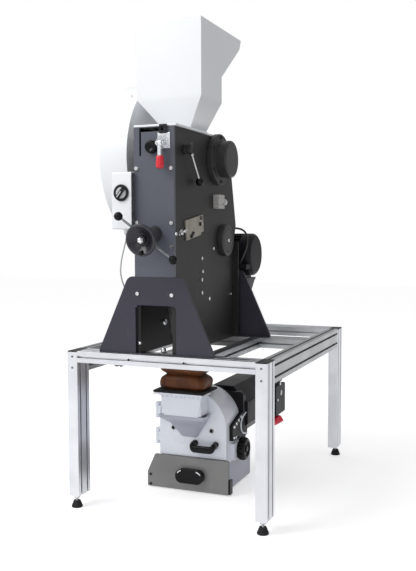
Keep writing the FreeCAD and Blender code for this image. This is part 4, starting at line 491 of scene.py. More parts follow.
CAST = Finish(
    "cast_manganese_steel", color=(0.10, 0.10, 0.105), second=(0.15, 0.14, 0.135), roughness=0.58,
    spread=0.14, metallic=0.8, mottle=24.0, grain_scale=260.0, relief=0.0002, dust=0.3,
)
PANEL_GREY = Finish(
    "front_blue_grey_coat", color=(0.094, 0.103, 0.132), second=(0.082, 0.090, 0.116), roughness=0.40,
    spread=0.06, mottle=3.0, grain_scale=520.0, relief=0.00005, dust=0.1, scuffs=0.10,
)
SIDE_CHARCOAL = Finish(
    "side_charcoal_coat", color=(0.018, 0.0168, 0.0164), second=(0.024, 0.0225, 0.022), roughness=0.47,
    spread=0.08, mottle=4.0, grain_scale=480.0, relief=0.00006, dust=0.06, scuffs=0.12, specular=0.3,
)
DRUM_CHARCOAL = Finish(
    "cover_charcoal_cast", color=(0.033, 0.032, 0.033), second=(0.042, 0.041, 0.042), roughness=0.40,
    spread=0.1, mottle=14.0, grain_scale=300.0, relief=0.00012, dust=0.06, specular=0.35,
)
FOOT_PURPLE = Finish(
    "foot_purple_grey_coat", color=(0.037, 0.035, 0.053), second=(0.031, 0.030, 0.045), roughness=0.43,
    spread=0.07, mottle=4.0, grain_scale=500.0, relief=0.00005, dust=0.08, scuffs=0.12, specular=0.4,
)
WHITE_SHEET = Finish(
    "white_sheet_coat", color=(0.86, 0.88, 0.90), second=(0.83, 0.85, 0.88), roughness=0.36,
    spread=0.06, mottle=3.0, grain_scale=460.0, relief=0.00004, dust=0.05,
)
MILL_WHITE = Finish(
    "mill_white_enamel", color=(0.86, 0.89, 0.96), second=(0.82, 0.86, 0.94), roughness=0.30,
    spread=0.08, mottle=5.0, grain_scale=420.0, relief=0.00004, coat=0.2, dust=0.06, scuffs=0.06,
)
# Darker grey copy of the feed box's white: painted shade on its downward-facing chute.
CHUTE_PAINTED_SHADE = Finish(
    "chute_painted_shade_enamel", color=(0.46, 0.48, 0.56), second=(0.42, 0.44, 0.52), roughness=0.33,
    spread=0.08, mottle=8.0, grain_scale=420.0, relief=0.00004, coat=0.15, dust=0.08,
)
DRAWER_GREY = Finish(
    "drawer_face_grey", color=(0.232, 0.230, 0.226), second=(0.206, 0.205, 0.202), roughness=0.42,
    spread=0.12, metallic=0.35, mottle=10.0, grain=Grain.ALONG_X, grain_scale=620.0, relief=0.00003,
    dust=0.1, scuffs=0.25,
)
PLINTH_LAVENDER = Finish(
    "plinth_lavender_coat", color=(0.52, 0.53, 0.62), second=(0.47, 0.48, 0.57), roughness=0.42,
    spread=0.08, mottle=5.0, dust=0.12,
)
BLACK_ENAMEL = Finish(
    "motor_black_enamel", color=(0.008, 0.008, 0.010), second=(0.013, 0.013, 0.016), roughness=0.42,
    spread=0.12, mottle=9.0, grain_scale=260.0, relief=0.00008, dust=0.0, specular=0.13,
)
RED_GRIP = Finish(
    "dipped_grip_red", color=(0.74, 0.012, 0.030), second=(0.62, 0.010, 0.026), roughness=0.36,
    spread=0.08, mottle=40.0, grain_scale=300.0, coat=0.2, dust=0.02,
)
RED_KNOB = Finish(
    "moulded_knob_red", color=(0.76, 0.016, 0.050), second=(0.66, 0.013, 0.042), roughness=0.34,
    spread=0.08, mottle=40.0, grain_scale=500.0, coat=0.2, dust=0.02,
)
KHAKI = Finish(
    "khaki_latch_plate", color=(0.400, 0.370, 0.320), second=(0.300, 0.275, 0.235), roughness=0.44,
    spread=0.14, metallic=0.4, mottle=30.0, grain=Grain.ALONG_Y, grain_scale=500.0, relief=0.00003,
    scuffs=0.3,
)
ZINC = Finish(
    "zinc_plated_sheet", color=(0.86, 0.88, 0.91), second=(0.72, 0.74, 0.77), roughness=0.28,
    spread=0.14, metallic=0.8, mottle=40.0, grain=Grain.SMOOTH, dust=0.04,
)
BARE_SHEET = Finish(
    "bare_sheet_steel", color=(0.40, 0.41, 0.42), second=(0.33, 0.34, 0.35), roughness=0.38,
    spread=0.14, metallic=1.0, mottle=12.0, grain=Grain.ALONG_Z, grain_scale=500.0, relief=0.00002,
    dust=0.2,
)
SLEEVE_BROWN = Finish(
    "coated_cloth_brown", color=(0.155, 0.046, 0.010), second=(0.066, 0.021, 0.006), roughness=0.48,
    spread=0.16, mottle=22.0, grain=Grain.CLOTH, grain_scale=150.0, relief=0.0003, dust=0.0, sheen=0.03,
    specular=0.3,
)
SPECKLED = Finish(
    "speckled_scale_block", color=(0.74, 0.73, 0.71), second=(0.24, 0.23, 0.22), roughness=0.36,
    spread=0.16, metallic=0.2, mottle=260.0, grain=Grain.PEEL, grain_scale=600.0, relief=0.00004,
    dust=0.05,
)
SCREW_GREY = Finish(
    "dull_screw_grey", color=(0.24, 0.25, 0.27), second=(0.17, 0.18, 0.19), roughness=0.36, spread=0.1,
    metallic=1.0, mottle=60.0, grain=Grain.PEEL, grain_scale=900.0, relief=0.00001, dust=0.03,
)
PALE_PLASTIC = Finish(
    "moulded_pale_grey", color=(0.56, 0.57, 0.58), second=(0.50, 0.51, 0.52), roughness=0.38,
    grain_scale=600.0,
)
CASE_DARK = Finish(
    "control_case_dark", color=(0.010, 0.012, 0.014), second=(0.015, 0.017, 0.019), roughness=0.44,
    grain_scale=700.0, dust=0.0, specular=0.12,
)
LEAD_GREY = Finish(
    "lead_sheath_grey", color=(0.50, 0.52, 0.52), second=(0.43, 0.45, 0.45), roughness=0.46,
    grain_scale=500.0,
)
CABLE_BLACK = Finish(
    "cable_sheath_black", color=(0.015, 0.015, 0.016), second=(0.021, 0.021, 0.022), roughness=0.40,
    grain_scale=500.0,
)

NODE_FINISHES: dict[Finish, Sequence[str]] = {
    BAR_X: ("front_rail", "rear_rail"),
    BAR_Y_PAINTED_SHADE: ("side_rail_left", "side_rail_right", "deck_rails"),
    BAR_Z: ("leg_front_left", "leg_front_right", "leg_rear_left", "leg_rear_right"),
    CAP_BLACK: ("leg_end_caps", "rotary_switch"),
    RUBBER: ("foot_pads", "drive_belt", "seal_plate"),
    CHROME: ("foot_stems", "side_lever", "clamp_lever"),
    BOLT_STEEL: ("screws",),
    GROUND_STEEL: ("eccentric_shaft", "motor_pulley", "turning_disc", "fixed_disc"),
    CAST: ("front_jaw", "swing_jaw", "flywheel"),
    PANEL_GREY: ("front_panel",),
    SIDE_CHARCOAL: ("side_wall_left", "side_wall_right", "rear_wall"),
    DRUM_CHARCOAL: ("bearing_housings", "lower_cover", "spindle_barrel"),
    FOOT_PURPLE: ("front_foot_plate", "rear_foot_plate", "motor_shelf"),
    WHITE_SHEET: ("belt_guard", "hopper", "switch_box"),
    MILL_WHITE: ("mill_housing", "mill_door", "feed_box"),
    DRAWER_GREY: ("collector_drawer",),
    PLINTH_LAVENDER: ("mill_base",),
    BLACK_ENAMEL: ("crusher_motor", "mill_motor", "side_bracket"),
    PHENOLIC: ("handwheel", "front_knob", "door_handle", "drawer_handle", "gap_knob"),
    RED_GRIP: ("catch_lever",),
    RED_KNOB: ("red_button",),
    KHAKI: ("wall_plates",),
    ZINC: ("catch_base",),
    BARE_SHEET: ("drop_chute",),
    SLEEVE_BROWN: ("flexible_sleeve",),
    CASE_DARK: ("control_box",),
    LEAD_GREY: ("switch_lead",),
    CABLE_BLACK: ("motor_cable",),
}


# Modelling steps, each on one piece at a time
class Bench:
    """Steps that shape a piece, as by hand."""

    @staticmethod
    def clear() -> None:
        """Leave edit mode, with nothing selected."""
        active = bpy.context.view_layer.objects.active
        if active and active.mode != "OBJECT":
            bpy.ops.object.mode_set(mode="OBJECT")
        bpy.ops.object.select_all(action="DESELECT")

    @staticmethod
    def pick(*pieces: bpy.types.Object) -> None:
        """Select these pieces alone, the first one active.

        Args:
            pieces: what to select.
        """
        Bench.clear()
        for piece in pieces:
            piece.select_set(True)
        bpy.context.view_layer.objects.active = pieces[0]

    @staticmethod
    def edit(piece: bpy.types.Object) -> None:
        """Open a piece for editing, with all of it selected.

        Args:
            piece: what to edit.
        """
        Bench.pick(piece)
        bpy.ops.object.mode_set(mode="EDIT")
        bpy.ops.mesh.select_all(action="SELECT")

    @staticmethod
    def rename(piece: bpy.types.Object, name: str) -> bpy.types.Object:
        """Give a piece and its mesh one name.

        Args:
            piece: what to name.
            name: the new name.

        Returns:
            The same piece.
        """
        piece.name = name
        piece.data.name = name
        return piece

    @staticmethod
    def settle(name: str) -> bpy.types.Object:
        """Name the active piece and put its place into its mesh.

        Args:
            name: the piece's name.

        Returns:
            The piece.
        """
        bpy.ops.object.transform_apply(location=True, rotation=True, scale=True)
        return Bench.rename(bpy.context.active_object, name)

    @staticmethod
    def rod(name: str, radius: float, start: Vector, end: Vector, sides: int = 40) -> bpy.types.Object:
        """Round bar between two points.

        Args:
            name: the piece's name.
            radius: in millimetres.
            start: one end.
            end: the other end.
            sides: how many flats the round has.

        Returns:
            The new piece.
        """
        Bench.clear()
        run = end - start
        bpy.ops.mesh.primitive_cylinder_add(
            vertices=sides, radius=radius * MM, depth=run.length, location=(start + end) / 2,
            rotation=run.to_track_quat("Z", "Y").to_euler(),
        )
        return Bench.settle(name)

    @staticmethod
    def block(name: str, low: Vector, high: Vector) -> bpy.types.Object:
        """Block between two corners.

        Args:
            name: the piece's name.
            low: the corner with the lowest coordinates.
            high: the corner with the highest coordinates.

        Returns:
            The new piece.
        """
        Bench.clear()
        bpy.ops.mesh.primitive_cube_add(size=1.0, location=(low + high) / 2, scale=high - low)
        return Bench.settle(name)

    @staticmethod
    def chain(name: str, points: Sequence[Vector]) -> bpy.types.Object:
        """Line of points, drawn by pulling one vertex from place to place.

        Args:
            name: the piece's name.
            points: the places, in order.

        Returns:
            The new piece, still open for editing.
        """
        Bench.clear()
        bpy.ops.mesh.primitive_plane_add(size=MM, location=points[0])
        piece = Bench.settle(name)
        bpy.ops.object.mode_set(mode="EDIT")
        bpy.ops.mesh.select_mode(type="VERT")
        bpy.ops.mesh.select_all(action="SELECT")
        bpy.ops.mesh.merge(type="CENTER")
        for here, following in zip(points, points[1:]):
            bpy.ops.mesh.extrude_region_move(TRANSFORM_OT_translate={"value": following - here})
        return piece

    @staticmethod
    def lathe(name: str, profile: Sequence[Pair], origin: Vector, axis: Vector,
              sides: int = 48) -> bpy.types.Object:
        """Turned piece.

        Args:
            name: the piece's name.
            profile: radius and place along the axis of each point, in millimetres.
            origin: where the axis starts.
            axis: direction of the axis.
            sides: how many steps the turn has.

        Returns:
            The new piece, closed where its profile starts and ends on the axis.
        """
        along = axis.normalized()
        side = along.orthogonal().normalized()
        points = [origin + side * radius * MM + along * rise * MM for radius, rise in profile]
        piece = Bench.chain(name, points)
        bpy.ops.mesh.select_all(action="SELECT")
        bpy.ops.mesh.spin(steps=sides, angle=2 * math.pi, center=origin, axis=along)
        return Bench.mend(piece)

    @staticmethod
    def mend(piece: bpy.types.Object) -> bpy.types.Object:
        """Merge doubled points and turn all faces outwards.

        Args:
            piece: what to mend.

        Returns:
            The same piece.
        """
        Bench.edit(piece)
        bpy.ops.mesh.remove_doubles(threshold=WELD)
        bpy.ops.mesh.normals_make_consistent(inside=False)
        bpy.ops.object.mode_set(mode="OBJECT")
        return piece

    @staticmethod
    def slab(name: str, points: Sequence[Vector], depth: Vector) -> bpy.types.Object:
        """Flat outline, filled and pulled to a thickness.

        Args:
            name: the piece's name.
            points: corners of the outline, in order.
            depth: how far and where to it is pulled.

        Returns:
            The new piece.
        """
        piece = Bench.chain(name, points)
        bpy.ops.mesh.select_all(action="SELECT")
        bpy.ops.mesh.edge_face_add()
        bpy.ops.mesh.extrude_region_move(TRANSFORM_OT_translate={"value": depth})
        return Bench.mend(piece)

    @staticmethod
    def resize(piece: bpy.types.Object, share: Triple, middle: Vector, below: float = math.inf) -> None:
        """Resize the points of a piece that lie below a height.

        Args:
            piece: what to resize.
            share: factor along each axis.
            middle: the place that stays.
            below: height in metres, or infinity for the whole piece.
        """
        Bench.edit(piece)
        bpy.ops.mesh.select_mode(type="VERT")
        bpy.ops.mesh.select_all(action="DESELECT")
        bpy.ops.object.mode_set(mode="OBJECT")
        for point in piece.data.vertices:
            point.select = point.co.z < below
        bpy.ops.object.mode_set(mode="EDIT")
        bpy.ops.transform.resize(value=share, center_override=middle)
        bpy.ops.object.mode_set(mode="OBJECT")

    @staticmethod
    def apply(piece: bpy.types.Object, kind: str, **settings: object) -> bpy.types.Object:
        """Add one modifier and apply it.

        Args:
            piece: what it shapes.
            kind: Blender's name of the modifier.
            settings: attributes to set on it.

        Returns:
            The same piece.
        """
        Bench.pick(piece)
        modifier = piece.modifiers.new(kind.title(), kind)
        for name, value in settings.items():
            setattr(modifier, name, value)
        bpy.ops.object.modifier_apply(modifier=modifier.name)
        return piece

    @staticmethod
    def bevel(piece: bpy.types.Object, width: float, segments: int = 2,
              angle: float = 40.0) -> bpy.types.Object:
        """Round the sharp edges of a piece.

        Args:
            piece: what to round.
            width: of the rounding, in millimetres.
            segments: how many facets it has.
            angle: edges sharper than this, in degrees, are rounded.

        Returns:
            The same piece.
        """
        return Bench.apply(piece, "BEVEL", width=width * MM, segments=segments, limit_method="ANGLE",
                           angle_limit=math.radians(angle), use_clamp_overlap=True, harden_normals=False)

    @staticmethod
    def cut(piece: bpy.types.Object, *cutters: bpy.types.Object) -> bpy.types.Object:
        """Take other pieces out of this one and delete them.

        Args:
            piece: what to cut.
            cutters: what is taken out.

        Returns:
            The same piece.
        """
        for cutter in cutters:
            Bench.apply(piece, "BOOLEAN", object=cutter, operation="DIFFERENCE", solver="EXACT")
            bpy.data.objects.remove(cutter)
        return piece

    @staticmethod
    def flute(piece: bpy.types.Object, seat: Vector, axis: Vector, side: Vector, count: int, radius: float,
              away: float, reach: Pair, sides: int, first: float = 0.0) -> None:
        """Cut even grooves into the edge of a turned piece.

        Args:
            piece: what to cut.
            seat: where its axis starts.
            axis: direction of the axis.
            side: level direction across the axis, from which the turns are counted.
            count: how many grooves there are.
            radius: of a groove, in millimetres.
            away: from the axis to a groove's middle, in millimetres.
            reach: where along the axis a groove starts and ends, in millimetres.
            sides: how many flats a groove's round has.
            first: turn of the first groove, in degrees.
        """
        grooves = []
        for index in range(count):
            turn = math.radians(first + 360.0 * index / count)
            edge = seat + (side * math.cos(turn) + UP * math.sin(turn)) * away * MM
            ends = (edge + axis * place * MM for place in reach)
            grooves.append(Bench.rod("groove", radius, *ends, sides))
        Bench.cut(piece, Bench.join("grooves", grooves))

    @staticmethod
    def join(name: str, pieces: Sequence[bpy.types.Object]) -> bpy.types.Object:
        """Make several shapes one piece.

        Args:
            name: the piece's name.
            pieces: what to join.

        Returns:
            The joined piece.
        """
        Bench.pick(*pieces)
        bpy.ops.object.join()
        return Bench.rename(bpy.context.active_object, name)

    @staticmethod
    def trace(curve: bpy.types.Curve, points: Sequence[Vector], radius: float, steps: int,
              facets: int) -> None:
        """Give a curve one smooth round line with these control points.

        Args:
            curve: the curve's data.
            points: the control points, in order.
            radius: in millimetres.
            steps: how finely the line runs between two points.
            facets: how finely its section is rounded.
        """
        curve.splines.clear()
        line = curve.splines.new("NURBS")
        line.points.add(len(points) - 1)
        for spot, place in zip(line.points, points):
            spot.co = (*place, 1.0)
        line.order_u = 3
        line.use_endpoint_u = True
        line.resolution_u = steps
        curve.bevel_depth = radius * MM
        curve.bevel_resolution = facets
        curve.use_fill_caps = True

    @staticmethod
    def tube(name: str, points: Sequence[Vector], radius: float) -> bpy.types.Object:
        """Bent round rod, as a mesh.

        Args:
            name: the piece's name.
            points: the control points, in order.
            radius: in millimetres.

        Returns:
            The new piece.
        """
        Bench.clear()
        bpy.ops.curve.primitive_nurbs_path_add(location=(0.0, 0.0, 0.0))
        Bench.trace(bpy.context.active_object.data, points, radius, steps=8, facets=5)
        bpy.ops.object.convert(target="MESH")
        return Bench.settle(name)

    @staticmethod
    def refined(node: str, width: float, segments: int = 2) -> bpy.types.Object:
        """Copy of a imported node, merged and with its edges rounded.

        Args:
            node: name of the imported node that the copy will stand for.
            width: of the rounding, in millimetres.
            segments: how many facets the rounding has.

        Returns:
            The copy, named after its node.
        """
        Bench.pick(frame["nodes"][node])
        bpy.ops.object.duplicate()
        piece = Bench.rename(bpy.context.active_object, node + "_finished")
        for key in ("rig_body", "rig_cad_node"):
            del piece[key]
        piece.parent = None
        Bench.edit(piece)
        bpy.ops.mesh.remove_doubles(threshold=NODE_WELD)
        bpy.ops.mesh.dissolve_limited(angle_limit=math.radians(FLAT_DEGREES))
        bpy.ops.object.mode_set(mode="OBJECT")
        return Bench.bevel(piece, width, segments)


def dress(piece: bpy.types.Object, body: str, finish: Finish, slot: str, *stands_for: str,
          angle: float = 35.0) -> bpy.types.Object:
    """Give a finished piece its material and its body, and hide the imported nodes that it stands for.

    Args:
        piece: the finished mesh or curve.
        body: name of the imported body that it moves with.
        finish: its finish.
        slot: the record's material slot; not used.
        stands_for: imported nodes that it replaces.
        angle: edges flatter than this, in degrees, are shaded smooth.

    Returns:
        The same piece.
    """
    if piece.type == "MESH":
        Bench.pick(piece)
        bpy.ops.object.shade_smooth_by_angle(angle=math.radians(angle))
        Bench.apply(piece, "WEIGHTED_NORMAL", keep_sharp=True, weight=60)
    piece.data.materials.clear()
    piece.data.materials.append(finish.material())
    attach(piece, body)
    if stands_for:
        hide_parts(*stands_for)
    LOG.info("%s rides on %s in %s", piece.name, body, finish.name)
    return piece


def polish(node: str, body: str, finish: Finish, slot: str, width: float = 0.8,
           segments: int = 2) -> bpy.types.Object:
    """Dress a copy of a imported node, with its edges rounded.

    Args:
        node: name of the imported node, which the copy replaces.
        body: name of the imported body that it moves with.
        finish: its finish.
        slot: the record's material slot.
        width: of the rounding, in millimetres.
        segments: how many facets the rounding has.

    Returns:
        The new piece.
    """
    return dress(Bench.refined(node, width, segments), body, finish, slot, node)


def screw_head(name: str, place: Vector, aim: Vector, radius: float, height: float) -> bpy.types.Object:
    """Domed head of a socket screw.

    Args:
        name: the piece's name.
        place: middle of the seat.
        aim: direction in which the head stands.
        radius: of the head, in millimetres.
        height: of the head, in millimetres.

    Returns:
        The new piece, with its socket sunk in.
    """
    socket = radius * 0.48
    profile = [(0, 0), (radius, 0), (radius, height * 0.55), (radius * 0.93, height * 0.85),
               (radius * 0.78, height), (socket, height), (socket * 0.92, height * 0.35), (0, height * 0.3)]
    return Bench.lathe(name, profile, place, aim, 24)


# Camera, light and floor
@dataclass
class Studio:
    """Pale floor, soft light and the camera of the reference view."""

    camera_place: Triple = (1166.7, -2420.5, 987.9)
    azimuth: float = 22.398
    elevation: float = 3.784
    roll: float = -0.157
    focal_pixels: float = 799.196
    long_side_pixels: float = 571.0
    sensor: float = 36.0
    clip: Pair = (0.05, 100.0)
    key_power: float = 92.0
    key_size: float = 2600.0
    key_turn: Pair = (-42.0, 42.0)
    spark_power: float = 9.0
    spark_size: float = 600.0
    spark_turn: Pair = (14.0, 20.0)
    lamp_distance: float = 4200.0
    lamp_target: Triple = (0.0, 480.0, 850.0)
    bright_turn: Pair = (-50.0, 30.0)
    side_reach: float = 0.9
    dim_side: float = 0.30
    bright_side: float = 0.72
    mirror_lift: float = 0.10
    floor_size: float = 24000.0
    floor_drop: float = 0.5
    floor_color: Color = (0.86, 0.86, 0.87)
    floor_roughness: float = 0.7
    floor_lift: float = 0.46

    def build(self) -> None:
        """Set up the whole studio."""
        bpy.context.scene.view_settings.view_transform = "Standard"
        self.camera()
        self.lamp("key_lamp", self.key_power, self.key_size, self.key_turn)
        self.lamp("spark_lamp", self.spark_power, self.spark_size, self.spark_turn)
        self.world()
        self.floor()

    def towards(self, azimuth: float, elevation: float) -> Vector:
        """Direction from the mill towards a place in the room.

        Args:
            azimuth: degrees round from the front, to the right.
            elevation: degrees up from the floor.

        Returns:
            The direction, one long.
        """
        turn, rise = math.radians(azimuth), math.radians(elevation)
        return Vector((math.sin(turn) * math.cos(rise), -math.cos(turn) * math.cos(rise), math.sin(rise)))

    def camera(self) -> None:
        """Place the camera where the reference view was taken from."""
        lens = bpy.data.cameras.new("reference_camera")
        lens.sensor_width = self.sensor
        lens.lens = self.focal_pixels / self.long_side_pixels * self.sensor
        lens.clip_start, lens.clip_end = self.clip
        camera = bpy.data.objects.new("reference_camera", lens)
        bpy.context.scene.collection.objects.link(camera)
        camera.location = at(*self.camera_place)
        camera.rotation_mode = "QUATERNION"
        look = (-self.towards(self.azimuth, self.elevation)).to_track_quat("-Z", "Y")
        tilt = Matrix.Rotation(math.radians(self.roll), 3, "Z").to_quaternion()
        camera.rotation_quaternion = look @ tilt
        bpy.context.scene.camera = camera

    def lamp(self, name: str, power: float, size: float, turn: Pair) -> None:
        """Round lamp that shines on the mill.

        Args:
            name: the lamp's name.
            power: in watts.
            size: across, in millimetres.
            turn: azimuth and elevation that it shines from.
        """
        lamp = bpy.data.lights.new(name, "AREA")
        lamp.energy = power
        lamp.shape = "DISK"
        lamp.size = size * MM
        light = bpy.data.objects.new(name, lamp)
        bpy.context.scene.collection.objects.link(light)
        aim = self.towards(*turn)
        light.location = at(*self.lamp_target) + aim * self.lamp_distance * MM
        light.rotation_mode = "QUATERNION"
        light.rotation_quaternion = aim.to_track_quat("Z", "Y")

    def world(self) -> None:
        """White room, dimmer on the right for what lights and mirrors in the mill."""
        world = bpy.data.worlds.new("white_room")
        world.use_nodes = True
        bpy.context.scene.world = world
        wires = Wires(world.node_tree)
        back = wires.tree.nodes["Background"].inputs
        back["Color"].default_value = WHITE
        dot = wires.node("ShaderNodeVectorMath", operation="DOT_PRODUCT")
        dot.inputs[1].default_value = self.towards(*self.bright_turn)
        wires.link(wires.node("ShaderNodeTexCoord").outputs["Generated"], dot.inputs[0])
        side = wires.spread(dot.outputs["Value"], -self.side_reach, self.side_reach,
                            self.dim_side, self.bright_side)
        path = wires.node("ShaderNodeLightPath").outputs
        lit = wires.math("ADD", wires.math("MULTIPLY", path["Is Glossy Ray"], self.mirror_lift), side)
        seen = wires.math("MAXIMUM", path["Is Camera Ray"], path["Is Transmission Ray"])
        white = wires.node("ShaderNodeMix")
        wires.link(seen, white.inputs[0])
        wires.link(lit, white.inputs[2])
        white.inputs[3].default_value = 1.0
        wires.link(white.outputs[0], back["Strength"])

    def floor(self) -> None:
        """Pale floor that keeps the mill's shadow and fades to white."""
        Bench.clear()
        bpy.ops.mesh.primitive_plane_add(size=self.floor_size * MM,
                                         location=(0.0, 0.0, -self.floor_drop * MM))
        floor = Bench.settle("floor")
        made = bpy.data.materials.new("pale_floor")
        made.use_nodes = True
        wires = Wires(made.node_tree)
        shader = wires.tree.nodes["Principled BSDF"].inputs
        shader["Base Color"].default_value = (*self.floor_color, 1.0)
        shader["Roughness"].default_value = self.floor_roughness
        shader["Emission Color"].default_value = WHITE
        path = wires.node("ShaderNodeLightPath").outputs
        seen = wires.math("MAXIMUM", path["Is Camera Ray"], path["Is Glossy Ray"])
        wires.link(wires.math("MULTIPLY", seen, self.floor_lift), shader["Emission Strength"])
        floor.data.materials.append(made)


# Stand of slotted bars
@dataclass
class Stand:
    """Slotted bars, their caps and fasteners, and the levelling feet."""

    foot_x: float = 353.5
    foot_rows: Pair = (20.0, 1038.0)
    stem_top: float = 60.0
    thread_pitch: float = 1.6
    deck_level: float = 572.0
    bearing_reach: float = 110.0
    bearing_sides: Pair = (-102.0, 34.0)
    plug_places: Sequence[Pair] = ((-128.3, 551.5), (79.3, 551.5))
    clip_place: Triple = (-171.0, 12.0, 526.0)
    deck_bolt: Triple = (133.0, 120.0, 570.0)
    deck_stop: Triple = (135.3, 578.5, 545.0)

    def build(self) -> None:
        """Finish the bars, then add what is fixed to them."""
        for finish in (BAR_X, BAR_Y_PAINTED_SHADE, BAR_Z):
            for node in NODE_FINISHES[finish]:
                polish(node, "root", finish, "bar", 0.5)
        polish("leg_end_caps", "root", CAP_BLACK, "cap", 1.0, 3)
        self.screws()
        self.feet()
        self.plugs()
        self.deck_pieces()

    def screws(self) -> None:
        """Bright screws on the crusher, dull ones in the legs and painted ones on the bearings."""
        screws = polish("screws", "root", BOLT_STEEL, "bright", 0.35)
        screws.data.materials.append(SCREW_GREY.material())
        screws.data.materials.append(DRUM_CHARCOAL.material())
        deck = at(0, 0, self.deck_level).z
        shaft = at(0, *SHAFT)
        left, right = (place * MM for place in self.bearing_sides)
        for face in screws.data.polygons:
            away = face.center - shaft
            near = max(abs(away.y), abs(away.z)) < self.bearing_reach * MM
            painted = near and not left <= away.x <= right
            face.material_index = 1 if face.center.z < deck else 2 if painted else 0

    def feet(self) -> None:
        """Conical pads with moulded ridges, and threaded stems with their lock nuts."""
        pad = [(0, 0), (18.6, 0), (20, 1.4), (20, 5.2), (19, 6.6), (18, 8.8), (18.4, 9.8), (17.2, 11),
               (15.2, 15.6), (15.6, 16.6), (14.6, 17.6), (12.6, 22.8), (11.8, 24.4), (11, 25), (6.2, 25),
               (5.6, 24.2), (5.6, 9.2), (0, 9)]
        thread = [(0, 9.0), (4.4, 9.0)]
        steps = int((self.stem_top - 11.0) / self.thread_pitch)
        thread += [(5.0 if step % 2 else 4.45, 10.0 + step * self.thread_pitch) for step in range(steps)]
        thread += [(4.4, self.stem_top), (0, self.stem_top)]
        washer = [(5.2, 34.6), (10.4, 34.6), (10.8, 35.1), (10.4, 36.0), (5.2, 36.0)]
        pads, stems = [], []
        for x in (-self.foot_x, self.foot_x):
            for y in self.foot_rows:
                foot = at(x, y, 0)
                pads.append(Bench.lathe("pad", pad, foot, UP, 48))
                stems.append(Bench.lathe("stem", thread, foot, UP, 24))
                nut = Bench.rod("nut", 9.0, at(x, y, 36.0), at(x, y, 43.8), 6)
                stems.append(Bench.bevel(nut, 0.7, 2))
                stems.append(Bench.lathe("washer", washer, foot, UP, 32))
        dress(Bench.join("foot_pads_finished", pads), "root", RUBBER, "cap", "foot_pads")
        dress(Bench.join("foot_stems_finished", stems), "root", CHROME, "bright", "foot_stems")

    def plugs(self) -> None:
        """Two black plugs in the front rail's slot and a cable clip under the rail."""
        profile = [(0, -1.4), (2.2, -1.4), (3.6, -0.8), (4.0, 0.4), (4.0, 3.0), (0, 3.0)]
        parts = [Bench.lathe("plug", profile, at(x, 0, z), BACK, 20) for x, z in self.plug_places]
        x, y, z = self.clip_place
        clip = Bench.block("clip", at(x - 16, y - 7, z), at(x + 16, y + 7, z + 4))
        parts.append(Bench.bevel(clip, 1.4, 3))
        for side in (-9, 8):
            parts.append(screw_head("clip_screw", at(x + side, y, z), -UP, 4.6, 2.4))
        dress(Bench.join("front_rail_plugs", parts), "root", CAP_BLACK, "cap")

    def deck_pieces(self) -> None:
        """Ring under the deck's bolt and a black plug in the cross rail's slot."""
        profile = [(9.4, 0), (13.6, 0), (14.2, 0.8), (13.6, 2.2), (9.4, 2.2)]
        ring = Bench.lathe("ring", profile, at(*self.deck_bolt), UP)
        x, y, z = self.deck_stop
        stop = Bench.block("deck_stop", at(x - 16, y - 5, z - 6), at(x + 16, y + 1.5, z + 6))
        dress(Bench.bevel(stop, 2.0, 3), "root", CAP_BLACK, "cap")
        dress(ring, "root", RUBBER, "cap")


